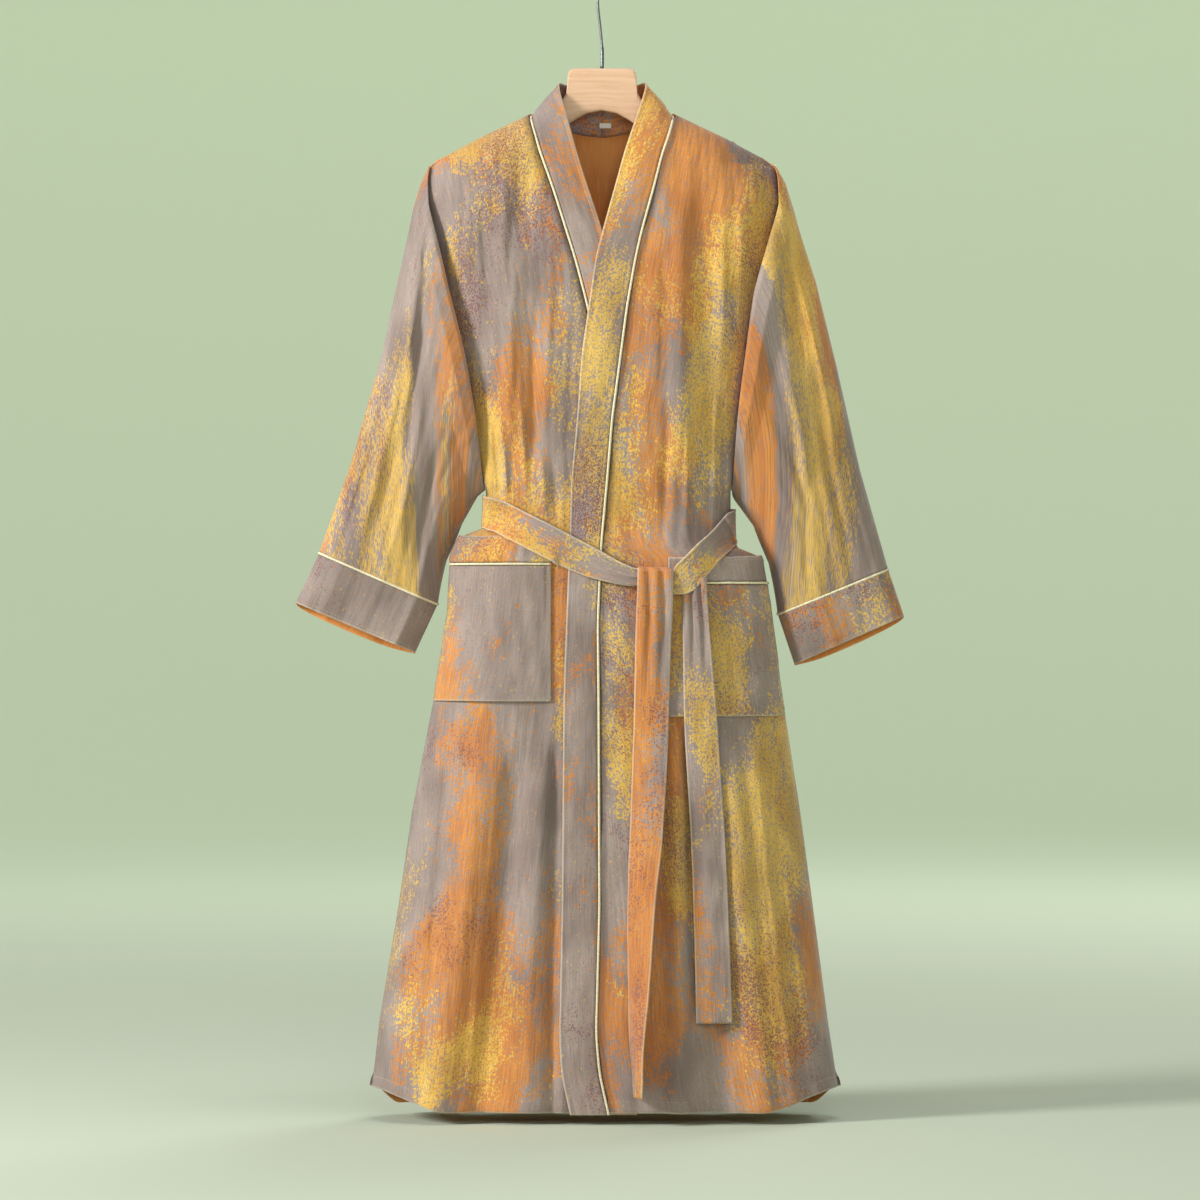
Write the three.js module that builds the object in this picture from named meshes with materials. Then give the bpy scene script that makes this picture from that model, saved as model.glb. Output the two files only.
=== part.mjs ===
// A kimono bathrobe on a wooden hanger. Millimetres, +Z up. The front faces -Y.
// The origin is the inside top of the hook. Left and right are the wearer's.
import * as THREE from 'three';

// Driving sizes
const WALL = 2;
const LEAST_INNER_SHARE = 0.35;
const THINNING = 0.85;
const THINNING_PASSES = 12;
const SEAM_GAP = 0.3;
const LAID_GAP = 0.9;
const PIPING_RADIUS = 1.5;
const PIPING_ROOM = PIPING_RADIUS + 0.7;
const ARMHOLE_GAP = 1.6;

const NECK_HALF = 87;
const SHOULDER_TIP = 206;
const SHOULDER_TIP_Z = -266;
const SHOULDER_ROUND = 42;
const UNDERARM_Z = -656;
const ARMHOLE_DEPTH = 32;
const ARMHOLE_TUCK = 8;
const SIDE_ROUND = 95;
const SHOULDER_ROWS_END = -330;
const HEM_Z = -1400;
const HEM_CORNER_RISE = 26;
const HEM_CORNER_REACH = 100;
const OVERLAP_LIFT = 6;

const BELT_WIDTH = 38;
const BELT_WALL = 2.4;
const BELT_ROOM = BELT_WALL + 2.2;
const BELT_TURN = 5;
const HOOK_SHAFT = 2.3;
const HOOK_ARC = 24;

const COLOURS = {
  cloth: 0xb48c64,
  belt: 0xb08a6c,
  piping: 0xeee2be,
  label: 0xe8e4da,
  beech: 0xe1b496,
  steel: 0x5a5d60,
};

// The shoulder line, from the neck out to the sleeve
const SHOULDER = [
  { x: 0, z: -158 },
  { x: 87, z: -203 },
  { x: 150, z: -233 },
  { x: 194, z: -257 },
  { x: 206, z: -266 },
  { x: 216, z: -284 },
];

// The body's sides and its depth in front and behind, down from the shoulders
const BODY = [
  { z: -203, right: -204, left: 204, front: 36, back: 38 },
  { z: -266, right: -208, left: 209, front: 44, back: 44 },
  { z: -310, right: -207, left: 211, front: 49, back: 48 },
  { z: -413, right: -188, left: 187, front: 55, back: 52 },
  { z: -486, right: -171, left: 178, front: 56, back: 52 },
  { z: -567, right: -155, left: 166, front: 53, back: 48 },
  { z: -656, right: -140, left: 155, front: 45, back: 41 },
  { z: -684, right: -139, left: 155, front: 42, back: 39 },
  { z: -702, right: -143, left: 156, front: 43, back: 40 },
  { z: -714, right: -174, left: 158, front: 46, back: 43 },
  { z: -726, right: -180, left: 164, front: 49, back: 46 },
  { z: -738, right: -183, left: 194, front: 51, back: 48 },
  { z: -804, right: -187, left: 205, front: 57, back: 54 },
  { z: -909, right: -203, left: 218, front: 61, back: 58 },
  { z: -1044, right: -229, left: 239, front: 65, back: 62 },
  { z: -1156, right: -245, left: 254, front: 68, back: 66 },
  { z: -1294, right: -268, left: 272, front: 72, back: 70 },
  { z: -1400, right: -280, left: 288, front: 76, back: 74 },
];

// Hanging folds: a ridge is positive and a valley negative, both measured outwards
const FRONT_FOLDS = [
  { topX: -92, topZ: -235, endX: -100, endZ: -400, width: 11, height: -6 },
  { topX: 118, topZ: -260, endX: 120, endZ: -640, width: 15, height: -7 },
  { topX: 92, topZ: -300, endX: 96, endZ: -640, width: 14, height: 5 },
  { topX: -112, topZ: -360, endX: -110, endZ: -650, width: 15, height: 6 },
  { topX: -128, topZ: -935, endX: -205, endZ: -1420, width: 24, height: 9 },
  { topX: -96, topZ: -935, endX: -148, endZ: -1420, width: 22, height: -8 },
  { topX: -75, topZ: -935, endX: -88, endZ: -1420, width: 20, height: 7 },
  { topX: 84, topZ: -935, endX: 100, endZ: -1420, width: 20, height: 9 },
  { topX: 110, topZ: -935, endX: 138, endZ: -1420, width: 18, height: -9 },
  { topX: 150, topZ: -935, endX: 192, endZ: -1420, width: 24, height: 8 },
];
const BACK_FOLDS = [
  { topX: -110, topZ: -300, endX: -86, endZ: -650, width: 20, height: -8 },
  { topX: -52, topZ: -420, endX: -48, endZ: -655, width: 15, height: 6 },
  { topX: 20, topZ: -380, endX: 14, endZ: -655, width: 17, height: -6 },
  { topX: 74, topZ: -330, endX: 64, endZ: -655, width: 16, height: 7 },
  { topX: 128, topZ: -320, endX: 108, endZ: -650, width: 18, height: -7 },
  { topX: -118, topZ: -725, endX: -214, endZ: -1420, width: 26, height: 11 },
  { topX: -72, topZ: -725, endX: -142, endZ: -1420, width: 24, height: -11 },
  { topX: -34, topZ: -725, endX: -76, endZ: -1420, width: 22, height: 10 },
  { topX: 4, topZ: -725, endX: -6, endZ: -1420, width: 24, height: -12 },
  { topX: 42, topZ: -725, endX: 68, endZ: -1420, width: 22, height: 10 },
  { topX: 84, topZ: -725, endX: 140, endZ: -1420, width: 24, height: -10 },
  { topX: 126, topZ: -725, endX: 216, endZ: -1420, width: 26, height: 10 },
];
const FOLD_FADE = 90;

// The piping line and the opening edge of each front band, across the body
const BAND_LINES = [
  { z: -250, rightSeam: -75, rightEdge: -31, leftSeam: 73, leftEdge: 27 },
  { z: -291, rightSeam: -60, rightEdge: -18, leftSeam: 63, leftEdge: 16 },
  { z: -345, rightSeam: -43, rightEdge: 0, leftSeam: 48, leftEdge: 1 },
  { z: -380, rightSeam: -32, rightEdge: 9, leftSeam: 40, leftEdge: -8 },
  { z: -437, rightSeam: -17, rightEdge: 19, leftSeam: 30, leftEdge: -16 },
  { z: -491, rightSeam: -7, rightEdge: 26, leftSeam: 23, leftEdge: -24 },
  { z: -573, rightSeam: 0, rightEdge: 32, leftSeam: 12, leftEdge: -30 },
  { z: -647, rightSeam: 3, rightEdge: 38, leftSeam: 6, leftEdge: -37 },
  { z: -723, rightSeam: 5, rightEdge: 41, leftSeam: -1, leftEdge: -39 },
  { z: -815, rightSeam: 6, rightEdge: 45, leftSeam: -5, leftEdge: -43 },
  { z: -909, rightSeam: 6, rightEdge: 47, leftSeam: -4, leftEdge: -46 },
  { z: -1156, rightSeam: 5, rightEdge: 48, leftSeam: -3, leftEdge: -48 },
  { z: -1307, rightSeam: 6, rightEdge: 50, leftSeam: -7, leftEdge: -51 },
  { z: -1353, rightSeam: 4, rightEdge: 49, leftSeam: -3, leftEdge: -49 },
  { z: -1402, rightSeam: 0, rightEdge: 42, leftSeam: 8, leftEdge: -38 },
];

// The collar part of each band, from the back of the neck to the front
const COLLAR = [
  { seamX: 0.4, seamZ: -226, behind: 1, edgeX: 0.4, edgeY: 34, edgeZ: -176 },
  { seamX: 20, seamZ: -225, behind: 1, edgeX: 14, edgeY: 33.5, edgeZ: -175 },
  { seamX: 40, seamZ: -220.5, behind: 1, edgeX: 27, edgeY: 30.5, edgeZ: -172 },
  { seamX: 58, seamZ: -213, behind: 1, edgeX: 38, edgeY: 24, edgeZ: -168 },
  { seamX: 72, seamZ: -208, behind: 1, edgeX: 46, edgeY: 16, edgeZ: -165 },
  { seamX: 82, seamZ: -205, behind: 1, edgeX: 51, edgeY: 9, edgeZ: -164 },
  { seamX: 87, seamZ: -203.6, behind: 0, edgeX: 53.5, edgeY: 2, edgeZ: -164.5 },
  { seamX: 86, seamZ: -207, behind: -1, edgeX: 53, edgeY: -5, edgeZ: -168 },
  { seamX: 85, seamZ: -212, behind: -1, edgeX: 51, edgeY: -12, edgeZ: -175 },
  { seamX: 83.5, seamZ: -219, behind: -1, edgeX: 48, edgeY: -18, edgeZ: -188 },
  { seamX: 81, seamZ: -229, behind: -1, edgeX: 43, edgeY: -24, edgeZ: -203 },
];

// Each sleeve: its outer fold and its under fold in front view, at stations down its length
const SLEEVES = {
  right: {
    side: -1,
    outer: [
      { at: 0, x: -206, z: -266 },
      { at: 0.05, x: -216, z: -286 },
      { at: 0.12, x: -227, z: -318 },
      { at: 0.3, x: -246, z: -402 },
      { at: 0.5, x: -267, z: -500 },
      { at: 0.75, x: -303, z: -625 },
      { at: 1, x: -341, z: -732 },
      { at: 1.15, x: -369, z: -792 },
    ],
    under: [
      { at: 0, x: -141, z: -655 },
      { at: 0.2, x: -157, z: -669 },
      { at: 0.5, x: -178, z: -704 },
      { at: 0.75, x: -192, z: -744 },
      { at: 1, x: -199, z: -794 },
      { at: 1.15, x: -226, z: -852 },
    ],
  },
  left: {
    side: 1,
    outer: [
      { at: 0, x: 206, z: -266 },
      { at: 0.05, x: 218, z: -286 },
      { at: 0.12, x: 231, z: -322 },
      { at: 0.3, x: 258, z: -406 },
      { at: 0.5, x: 283, z: -508 },
      { at: 0.75, x: 311, z: -632 },
      { at: 1, x: 345, z: -752 },
      { at: 1.15, x: 364, z: -808 },
    ],
    under: [
      { at: 0, x: 156, z: -655 },
      { at: 0.2, x: 167, z: -674 },
      { at: 0.5, x: 192, z: -706 },
      { at: 0.75, x: 206, z: -748 },
      { at: 1, x: 213, z: -806 },
      { at: 1.15, x: 233, z: -866 },
    ],
  },
};

// How far the sleeve stands out at the tucked armhole seam and further down
const SLEEVE_DEPTHS = [
  { at: 0, reach: 0, extra: 0 },
  { at: 0.006, reach: 5, extra: 9 },
  { at: 0.018, reach: 8, extra: 16 },
  { at: 0.04, reach: 8, extra: 21 },
  { at: 0.09, reach: 3, extra: 22 },
  { at: 0.2, reach: 0, extra: 18 },
  { at: 0.5, reach: 0, extra: 10 },
  { at: 0.8, reach: 0, extra: 2 },
  { at: 1, reach: 0, extra: -6 },
  { at: 1.15, reach: 0, extra: -15 },
];
const SLEEVE_STATIONS = [0, 0.006, 0.018, 0.04, 0.09, 0.16, 0.25, 0.35, 0.45, 0.56, 0.67, 0.78, 0.89, 0.99];
const CUFF_START = 1.005;
const CUFF_END = 1.15;
const SLEEVE_COLUMNS = 22;
const SEAM_FADE = 0.2;

// The belt round the waist: where it runs across, its height and how far off the cloth it is
const BELT_FRONT_RIGHT = [
  { x: 60, z: -762, off: 7.2, half: 9 },
  { x: 30, z: -760, off: 7, half: 12 },
  { x: -20, z: -741, off: 6.8, half: 18 },
  { x: -70, z: -716, off: 6.5, half: 19 },
  { x: -105, z: -698, off: 4.6, half: 19 },
  { x: -124, z: -688, off: 2, half: 19 },
];
const BELT_FRONT_LEFT = [
  { x: 143, z: -712, off: 4, half: 19 },
  { x: 124, z: -737, off: 13.8, half: 19 },
  { x: 104, z: -757, off: 12.4, half: 18 },
  { x: 85, z: -767, off: 11, half: 12 },
  { x: 66, z: -767, off: 10.4, half: 9 },
];
const BELT_BACK_RIGHT_Z = -682;
const BELT_BACK_LEFT_Z = -700;

// The two hanging ends of the belt: edges across, and how far each has turned
const TAIL_FRONT = [
  { z: -757, x: 43, width: 41, turn: 0, off: 15 },
  { z: -777, x: 43, width: 41, turn: 0, off: 15 },
  { z: -800, x: 42, width: 42, turn: 0, off: 10.5 },
  { z: -850, x: 40, width: 42, turn: 0, off: 5.5 },
  { z: -956, x: 37, width: 42, turn: 4, off: 3.5 },
  { z: -1054, x: 34, width: 42, turn: 20, off: 2 },
  { z: -1143, x: 32, width: 42, turn: 40, off: 2 },
  { z: -1247, x: 33, width: 42, turn: 54, off: 2 },
  { z: -1307, x: 34, width: 42, turn: 65, off: 2 },
  { z: -1379, x: 39, width: 40, turn: 78, off: 2 },
];
const TAIL_BEHIND = [
  { z: -762, x: 97, width: 26, turn: 0, off: 5 },
  { z: -786, x: 97, width: 28, turn: 0, off: 5 },
  { z: -880, x: 97, width: 36, turn: 0, off: 4.6 },
  { z: -932, x: 98, width: 39, turn: 0, off: 5 },
  { z: -975, x: 100, width: 40, turn: 0, off: 3 },
  { z: -1080, x: 106, width: 41, turn: 0, off: 2 },
  { z: -1200, x: 110, width: 42, turn: 0, off: 2 },
  { z: -1293, x: 112, width: 43, turn: 0, off: 2 },
];

// Patch pockets, between the side seam and the inner edge
const POCKETS = {
  right: { side: -1, inner: -61, top: -714, join: -746, bottom: -910 },
  left: { side: 1, inner: 79, top: -738, join: -769, bottom: -928 },
};
const POCKET_SIDE_INSET = 3;
const POCKET_MARGIN = 8;

// Reads a column of a table whose rows run one way along a key column
function column(table, key, name, value) {
  const rising = table[table.length - 1][key] > table[0][key];
  const sign = rising ? 1 : -1;
  if (sign * (value - table[0][key]) <= 0) return table[0][name];
  for (let i = 1; i < table.length; i += 1) {
    const from = table[i - 1];
    const to = table[i];
    if (sign * (value - to[key]) <= 0) {
      const part = (value - from[key]) / (to[key] - from[key]);
      return from[name] + (to[name] - from[name]) * part;
    }
  }
  return table[table.length - 1][name];
}

function mix(a, b, part) {
  return a + (b - a) * part;
}

function smooth(from, to, value) {
  const part = Math.min(Math.max((value - from) / (to - from), 0), 1);
  return part * part * (3 - 2 * part);
}

function shoulderZ(x) {
  return column(SHOULDER, 'x', 'z', Math.abs(x));
}

// 0 at the underarm and 1 at the shoulder tip
function armholePart(z) {
  return Math.min(Math.max((z - UNDERARM_Z) / (SHOULDER_TIP_Z - UNDERARM_Z), 0), 1);
}

// The armhole's depth bellies out between its two ends
function armholeBelly(part) {
  const across = Math.abs(2 * part - 1);
  return Math.pow(1 - Math.pow(across, 2.4), 1 / 2.4);
}

function armholeDepth(z) {
  return ARMHOLE_DEPTH * armholeBelly(armholePart(z)) + SEAM_GAP / 2;
}

// Where the side seam or armhole seam runs
function sideX(side, z) {
  const name = side < 0 ? 'right' : 'left';
  const tuck = ARMHOLE_TUCK * Math.sin(Math.PI * armholePart(z));
  return column(BODY, 'z', name, z) + side * tuck;
}

function foldHeight(folds, x, z) {
  let height = 0;
  for (const fold of folds) {
    const part = (z - fold.topZ) / (fold.endZ - fold.topZ);
    if (part <= 0 || part >= 1) continue;
    const centre = mix(fold.topX, fold.endX, part);
    const across = (x - centre) / fold.width;
    const fadeIn = smooth(0, FOLD_FADE, fold.topZ - z);
    const fadeOut = fold.endZ < HEM_Z ? 1 : smooth(0, FOLD_FADE, z - fold.endZ);
    height += fold.height * Math.exp(-across * across) * fadeIn * fadeOut;
  }
  return height;
}

// How far the cloth stands from the middle plane, in front (facing -1) or behind (1)
function bodyDepth(facing, x, z) {
  const side = x < 0 ? -1 : 1;
  const inset = Math.max(side * (sideX(side, z) - x), 0);
  const round = Math.min(inset / SIDE_ROUND, 1);
  const open = smooth(0, 0.12, armholePart(z));
  const rise = Math.pow(1 - (1 - round) * (1 - round), mix(0.5, 1, open));
  const full = column(BODY, 'z', facing < 0 ? 'front' : 'back', z);
  const folds = foldHeight(facing < 0 ? FRONT_FOLDS : BACK_FOLDS, x, z) * smooth(0, 0.5, round);
  const edge = armholeDepth(z);
  const drop = Math.min(Math.max((shoulderZ(x) - z) / SHOULDER_ROUND, 0), 1);
  const arch = Math.sqrt(1 - (1 - drop) * (1 - drop));
  return SEAM_GAP / 2 + (edge - SEAM_GAP / 2 + (full - edge) * rise + folds) * arch;
}

// The wearer's left front lies over the right one near the middle
function overlap(x, z) {
  return OVERLAP_LIFT * smooth(-235, -325, z) * (1 - smooth(95, 140, x));
}

function frontY(side, x, z) {
  const lift = side > 0 ? overlap(x, z) : 0;
  return -bodyDepth(-1, x, z) - lift;
}

function point(x, y, z) {
  return new THREE.Vector3(x, y, z);
}

// The front's outermost cloth, which the belt crosses
function skinPoint(x, z, off) {
  const lift = overlap(x, z) * smooth(-115, -55, x);
  const y = -bodyDepth(-1, x, z) - lift;
  return point(x, y - off, z);
}

// The outward direction at each point of a grid
function outward(grid, closedAcross) {
  const last = grid[0].length - 1;
  return grid.map((row, r) => row.map((here, c) => {
    const before = c > 0 ? row[c - 1] : row[closedAcross ? last : 0];
    const after = c < last ? row[c + 1] : row[closedAcross ? 0 : last];
    const down = grid[Math.min(r + 1, grid.length - 1)][c].clone().sub(grid[Math.max(r - 1, 0)][c]);
    return after.clone().sub(before).cross(down).normalize();
  }));
}

function cellNormal(grid, r, c) {
  const next = (c + 1) % grid[0].length;
  const falling = grid[r + 1][next].clone().sub(grid[r][c]);
  const rising = grid[r][next].clone().sub(grid[r + 1][c]);
  return rising.cross(falling);
}

// The wall's inner points, nearer the outer ones where the inner face would fold over itself
function insidePoints(grid, thickness, closedAcross, half) {
  const normals = outward(grid, closedAcross);
  const depths = grid.map((row) => row.map(() => thickness));
  const cells = closedAcross ? grid[0].length : grid[0].length - 1;
  let inner = grid;
  for (let pass = 0; pass < THINNING_PASSES; pass += 1) {
    inner = grid.map((row, r) => row.map((here, c) => {
      const inside = here.clone().addScaledVector(normals[r][c], -depths[r][c]);
      if (half !== 0) inside.y = half * Math.max(half * inside.y, SEAM_GAP / 2);
      return inside;
    }));
    for (let r = 0; r < grid.length - 1; r += 1) {
      for (let c = 0; c < cells; c += 1) {
        const outerCell = cellNormal(grid, r, c);
        const kept = cellNormal(inner, r, c).dot(outerCell) / outerCell.lengthSq();
        if (kept > LEAST_INNER_SHARE) continue;
        for (const [row, across] of [[r, c], [r + 1, c], [r, c + 1], [r + 1, c + 1]]) {
          depths[row][across % grid[0].length] *= THINNING;
        }
      }
    }
  }
  return inner;
}

// A closed wall through a grid of points on its outer face
function wall(points, thickness, { closedAcross = false, mirrored = false, half = 0 } = {}) {
  const grid = mirrored ? points.map((row) => [...row].reverse()) : points;
  const rows = grid.length;
  const columns = grid[0].length;
  const edgeColumns = closedAcross ? columns : columns - 1;
  const inner = insidePoints(grid, thickness, closedAcross, half);
  const total = rows * columns;
  const positions = [...grid, ...inner].flat().flatMap((at) => at.toArray());
  const faces = [];
  const quad = (a, b, c, d) => faces.push(a, b, c, a, c, d);
  const id = (r, c) => r * columns + (c % columns);
  for (let r = 0; r < rows - 1; r += 1) {
    for (let c = 0; c < edgeColumns; c += 1) {
      quad(id(r, c), id(r, c + 1), id(r + 1, c + 1), id(r + 1, c));
      quad(total + id(r, c), total + id(r + 1, c), total + id(r + 1, c + 1), total + id(r, c + 1));
    }
  }
  for (let c = 0; c < edgeColumns; c += 1) {
    quad(id(0, c + 1), id(0, c), total + id(0, c), total + id(0, c + 1));
    quad(id(rows - 1, c), id(rows - 1, c + 1), total + id(rows - 1, c + 1), total + id(rows - 1, c));
  }
  if (!closedAcross) {
    const last = columns - 1;
    for (let r = 0; r < rows - 1; r += 1) {
      quad(id(r, 0), id(r + 1, 0), total + id(r + 1, 0), total + id(r, 0));
      quad(id(r + 1, last), id(r, last), total + id(r, last), total + id(r + 1, last));
    }
  }
  return solid(positions, faces);
}

// A geometry whose faces point out
function solid(positions, faces) {
  const corner = (i) => new THREE.Vector3().fromArray(positions, 3 * i);
  let volume = 0;
  for (let i = 0; i < faces.length; i += 3) {
    const cross = corner(faces[i + 1]).cross(corner(faces[i + 2]));
    volume += corner(faces[i]).dot(cross);
  }
  const geometry = new THREE.BufferGeometry();
  geometry.setAttribute('position', new THREE.Float32BufferAttribute(positions, 3));
  geometry.setIndex(volume > 0 ? faces : faces.reverse());
  geometry.computeVertexNormals();
  return geometry;
}

function cord(points, radius, steps, sides = 6) {
  const circle = new THREE.Shape();
  circle.absarc(0, 0, radius, 0, Math.PI * 2, false);
  const path = new THREE.CatmullRomCurve3(points);
  const options = { steps, extrudePath: path, bevelEnabled: false, curveSegments: sides / 2 };
  return new THREE.ExtrudeGeometry(circle, options);
}

const group = new THREE.Group();

function add(name, geometry, colour, roughness = 0.9, metalness = 0) {
  const material = new THREE.MeshStandardMaterial({ color: colour, roughness, metalness });
  const mesh = new THREE.Mesh(geometry, material);
  mesh.name = name;
  group.add(mesh);
}

function range(count) {
  return Array.from({ length: count + 1 }, (_, i) => i / count);
}

// Rows below the shoulders, closer together at the waist
const LOWER_ROWS = [
  -360, -400, -445, -490, -540, -590, -630, -656, -670, -684, -702, -714, -726, -738, -769,
  -804, -855, -909, -935, -975, -1044, -1100, -1156, -1225, -1294, -1350,
];
const SHOULDER_STEPS = [0, 0.03, 0.1, 0.24, 0.42, 0.64, 0.85];

function hemZ(side, x, facing) {
  const inset = Math.max(side * (sideX(side, HEM_Z) - x), 0);
  const reach = facing < 0 ? HEM_CORNER_REACH : HEM_CORNER_REACH / 3;
  return HEM_Z + HEM_CORNER_RISE * (1 - smooth(0, reach, inset));
}

// Every column starts at its own top and meets level rows below the shoulders
function columnHeights(topZ, lowZ) {
  const upper = SHOULDER_STEPS.map((part) => mix(topZ, SHOULDER_ROWS_END, part));
  return [...upper, SHOULDER_ROWS_END, ...LOWER_ROWS, lowZ];
}

// The seam between the neck side and the first row of BAND_LINES
const NECK_SIDE = [
  { z: -203.6, x: 87 },
  { z: -207, x: 86 },
  { z: -212, x: 85 },
  { z: -219, x: 83.5 },
  { z: -229, x: 81 },
  { z: -250, x: 74 },
];

function seamX(side, z) {
  const name = side < 0 ? 'rightSeam' : 'leftSeam';
  if (z > BAND_LINES[0].z) {
    return side * column(NECK_SIDE, 'z', 'x', z);
  }
  return column(BAND_LINES, 'z', name, z);
}

const FRONT_COLUMNS = 15;

function frontGrid(side) {
  const spread = range(FRONT_COLUMNS).map((part) => Math.pow(part, 1.5));
  const edgeRows = columnHeights(SHOULDER_TIP_Z, HEM_Z);
  const seamRows = columnHeights(-204, HEM_Z);
  return edgeRows.map((_, row) => {
    return spread.map((part) => {
      const topX = mix(side * SHOULDER_TIP, side * (NECK_HALF + PIPING_ROOM + 1), part);
      const outerX = sideX(side, edgeRows[row]);
      const innerX = seamX(side, seamRows[row]) + side * PIPING_ROOM;
      const x = row === 0 ? topX : mix(outerX, innerX, part);
      const z = columnHeights(shoulderZ(topX), hemZ(side, x, -1))[row];
      return point(x, frontY(side, x, z), z);
    });
  });
}

const BACK_COLUMNS = 26;
const BACK_NECK = [
  { x: 0, z: -229.5 },
  { x: 20, z: -228.5 },
  { x: 40, z: -224 },
  { x: 58, z: -216.5 },
  { x: 72, z: -211.5 },
  { x: 87, z: -206 },
];

function backGrid() {
  const spread = range(BACK_COLUMNS).map((part) => {
    const across = 2 * part - 1;
    return Math.sign(across) * (1 - Math.pow(1 - Math.abs(across), 1.35));
  });
  const edgeRows = columnHeights(SHOULDER_TIP_Z, HEM_Z);
  return edgeRows.map((edgeZ, row) => {
    return spread.map((across) => {
      const side = across < 0 ? -1 : 1;
      const topX = across * SHOULDER_TIP;
      const neckZ = column(BACK_NECK, 'x', 'z', Math.abs(topX));
      const topZ = Math.abs(topX) < NECK_HALF ? neckZ : shoulderZ(topX);
      const outer = row === 0 ? SHOULDER_TIP : side * sideX(side, edgeZ);
      const x = across * outer;
      const z = columnHeights(topZ, hemZ(side, x, 1))[row];
      return point(x, bodyDepth(1, x, z), z);
    });
  });
}

// Rows down the front part of a band
const BAND_ROWS = [
  -240, -250, -270, -291, -318, -345, -375, -405, -437, -465, ...LOWER_ROWS.slice(3), -1402,
];

// The band's two edges at each station: the seam on the body and the free edge
function bandStations(side) {
  const seam = [];
  const edge = [];
  for (const row of COLLAR) {
    const x = side * row.seamX;
    const y = row.behind === 0 ? 0 : row.behind * bodyDepth(row.behind, x, row.seamZ);
    seam.push(point(x, y, row.seamZ));
    edge.push(point(side * row.edgeX, row.edgeY, row.edgeZ));
  }
  const edgeName = side < 0 ? 'rightEdge' : 'leftEdge';
  const last = COLLAR[COLLAR.length - 1];
  const first = BAND_LINES[0];
  for (const z of BAND_ROWS) {
    const part = Math.min((last.seamZ - z) / (last.seamZ - first.z), 1);
    const atSeam = seamX(side, z);
    const below = column(BAND_LINES, 'z', edgeName, z);
    const atEdge = part < 1 ? mix(side * last.edgeX, first[edgeName], part) : below;
    const edgeZ = part < 1 ? mix(last.edgeZ, first.z, part) : z;
    seam.push(point(atSeam, frontY(side, atSeam, z), z));
    edge.push(point(atEdge, frontY(side, atEdge, edgeZ) - 1, edgeZ));
  }
  return { seam, edge };
}

function bandGrid(side) {
  const { seam, edge } = bandStations(side);
  return seam.map((from, i) => {
    const start = PIPING_ROOM / from.distanceTo(edge[i]);
    return [start, 0.5, 1].map((across) => from.clone().lerp(edge[i], across));
  });
}

// Between the sleeve's under fold (part 0) and its outer fold (part 1), in the middle plane
function sleeveMiddle(sleeve, at, part) {
  const outer = point(column(sleeve.outer, 'at', 'x', at), 0, column(sleeve.outer, 'at', 'z', at));
  const under = point(column(sleeve.under, 'at', 'x', at), 0, column(sleeve.under, 'at', 'z', at));
  return under.lerp(outer, part);
}

function sleevePoint(sleeve, at, turn) {
  const part = (1 - Math.cos(turn)) / 2;
  const seamPart = armholePart(mix(UNDERARM_Z, SHOULDER_TIP_Z, part));
  const seamZ = mix(UNDERARM_Z, SHOULDER_TIP_Z, seamPart);
  const apart = ARMHOLE_GAP * (1 + 1.4 * smooth(0.85, 1, part));
  const seam = point(sideX(sleeve.side, seamZ) + sleeve.side * apart, 0, seamZ);
  const toSeam = seam.sub(sleeveMiddle(sleeve, 0, part)).multiplyScalar(1 - smooth(0, SEAM_FADE, at));
  const place = sleeveMiddle(sleeve, at, part).add(toSeam);
  const taper = Math.sin(Math.PI * part);
  const belly = armholeBelly(part);
  const depth = ARMHOLE_DEPTH * belly + column(SLEEVE_DEPTHS, 'at', 'extra', at) * taper;
  place.x -= sleeve.side * column(SLEEVE_DEPTHS, 'at', 'reach', at) * taper;
  place.y = Math.sin(turn) > 0 ? -depth : depth;
  return place;
}

function sleeveRing(sleeve, at) {
  return range(SLEEVE_COLUMNS).slice(0, -1).map((part) => sleevePoint(sleeve, at, 2 * Math.PI * part));
}

function ringPiping(sleeve, at) {
  const path = new THREE.CatmullRomCurve3(sleeveRing(sleeve, at), true);
  return new THREE.TubeGeometry(path, SLEEVE_COLUMNS, PIPING_RADIUS, 6, true);
}

// A point on a front panel, moved straight out from the cloth
function laidPoint(side, x, z, off) {
  const step = 1;
  const here = point(x, frontY(side, x, z), z);
  const beside = point(x + step, frontY(side, x + step, z), z);
  const below = point(x, frontY(side, x, z - step), z - step);
  const normal = beside.sub(here).cross(below.sub(here)).normalize();
  return here.addScaledVector(normal, normal.y > 0 ? -off : off);
}

function pocketGrid(pocket, topZ, bottomZ, rows) {
  return range(rows).map((down) => {
    const z = mix(topZ, bottomZ, down);
    const outer = sideX(pocket.side, z) - pocket.side * POCKET_SIDE_INSET;
    return range(8).map((part) => {
      const x = mix(outer, pocket.inner, Math.pow(part, 1.3));
      return laidPoint(pocket.side, x, z, LAID_GAP + WALL);
    });
  });
}

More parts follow.
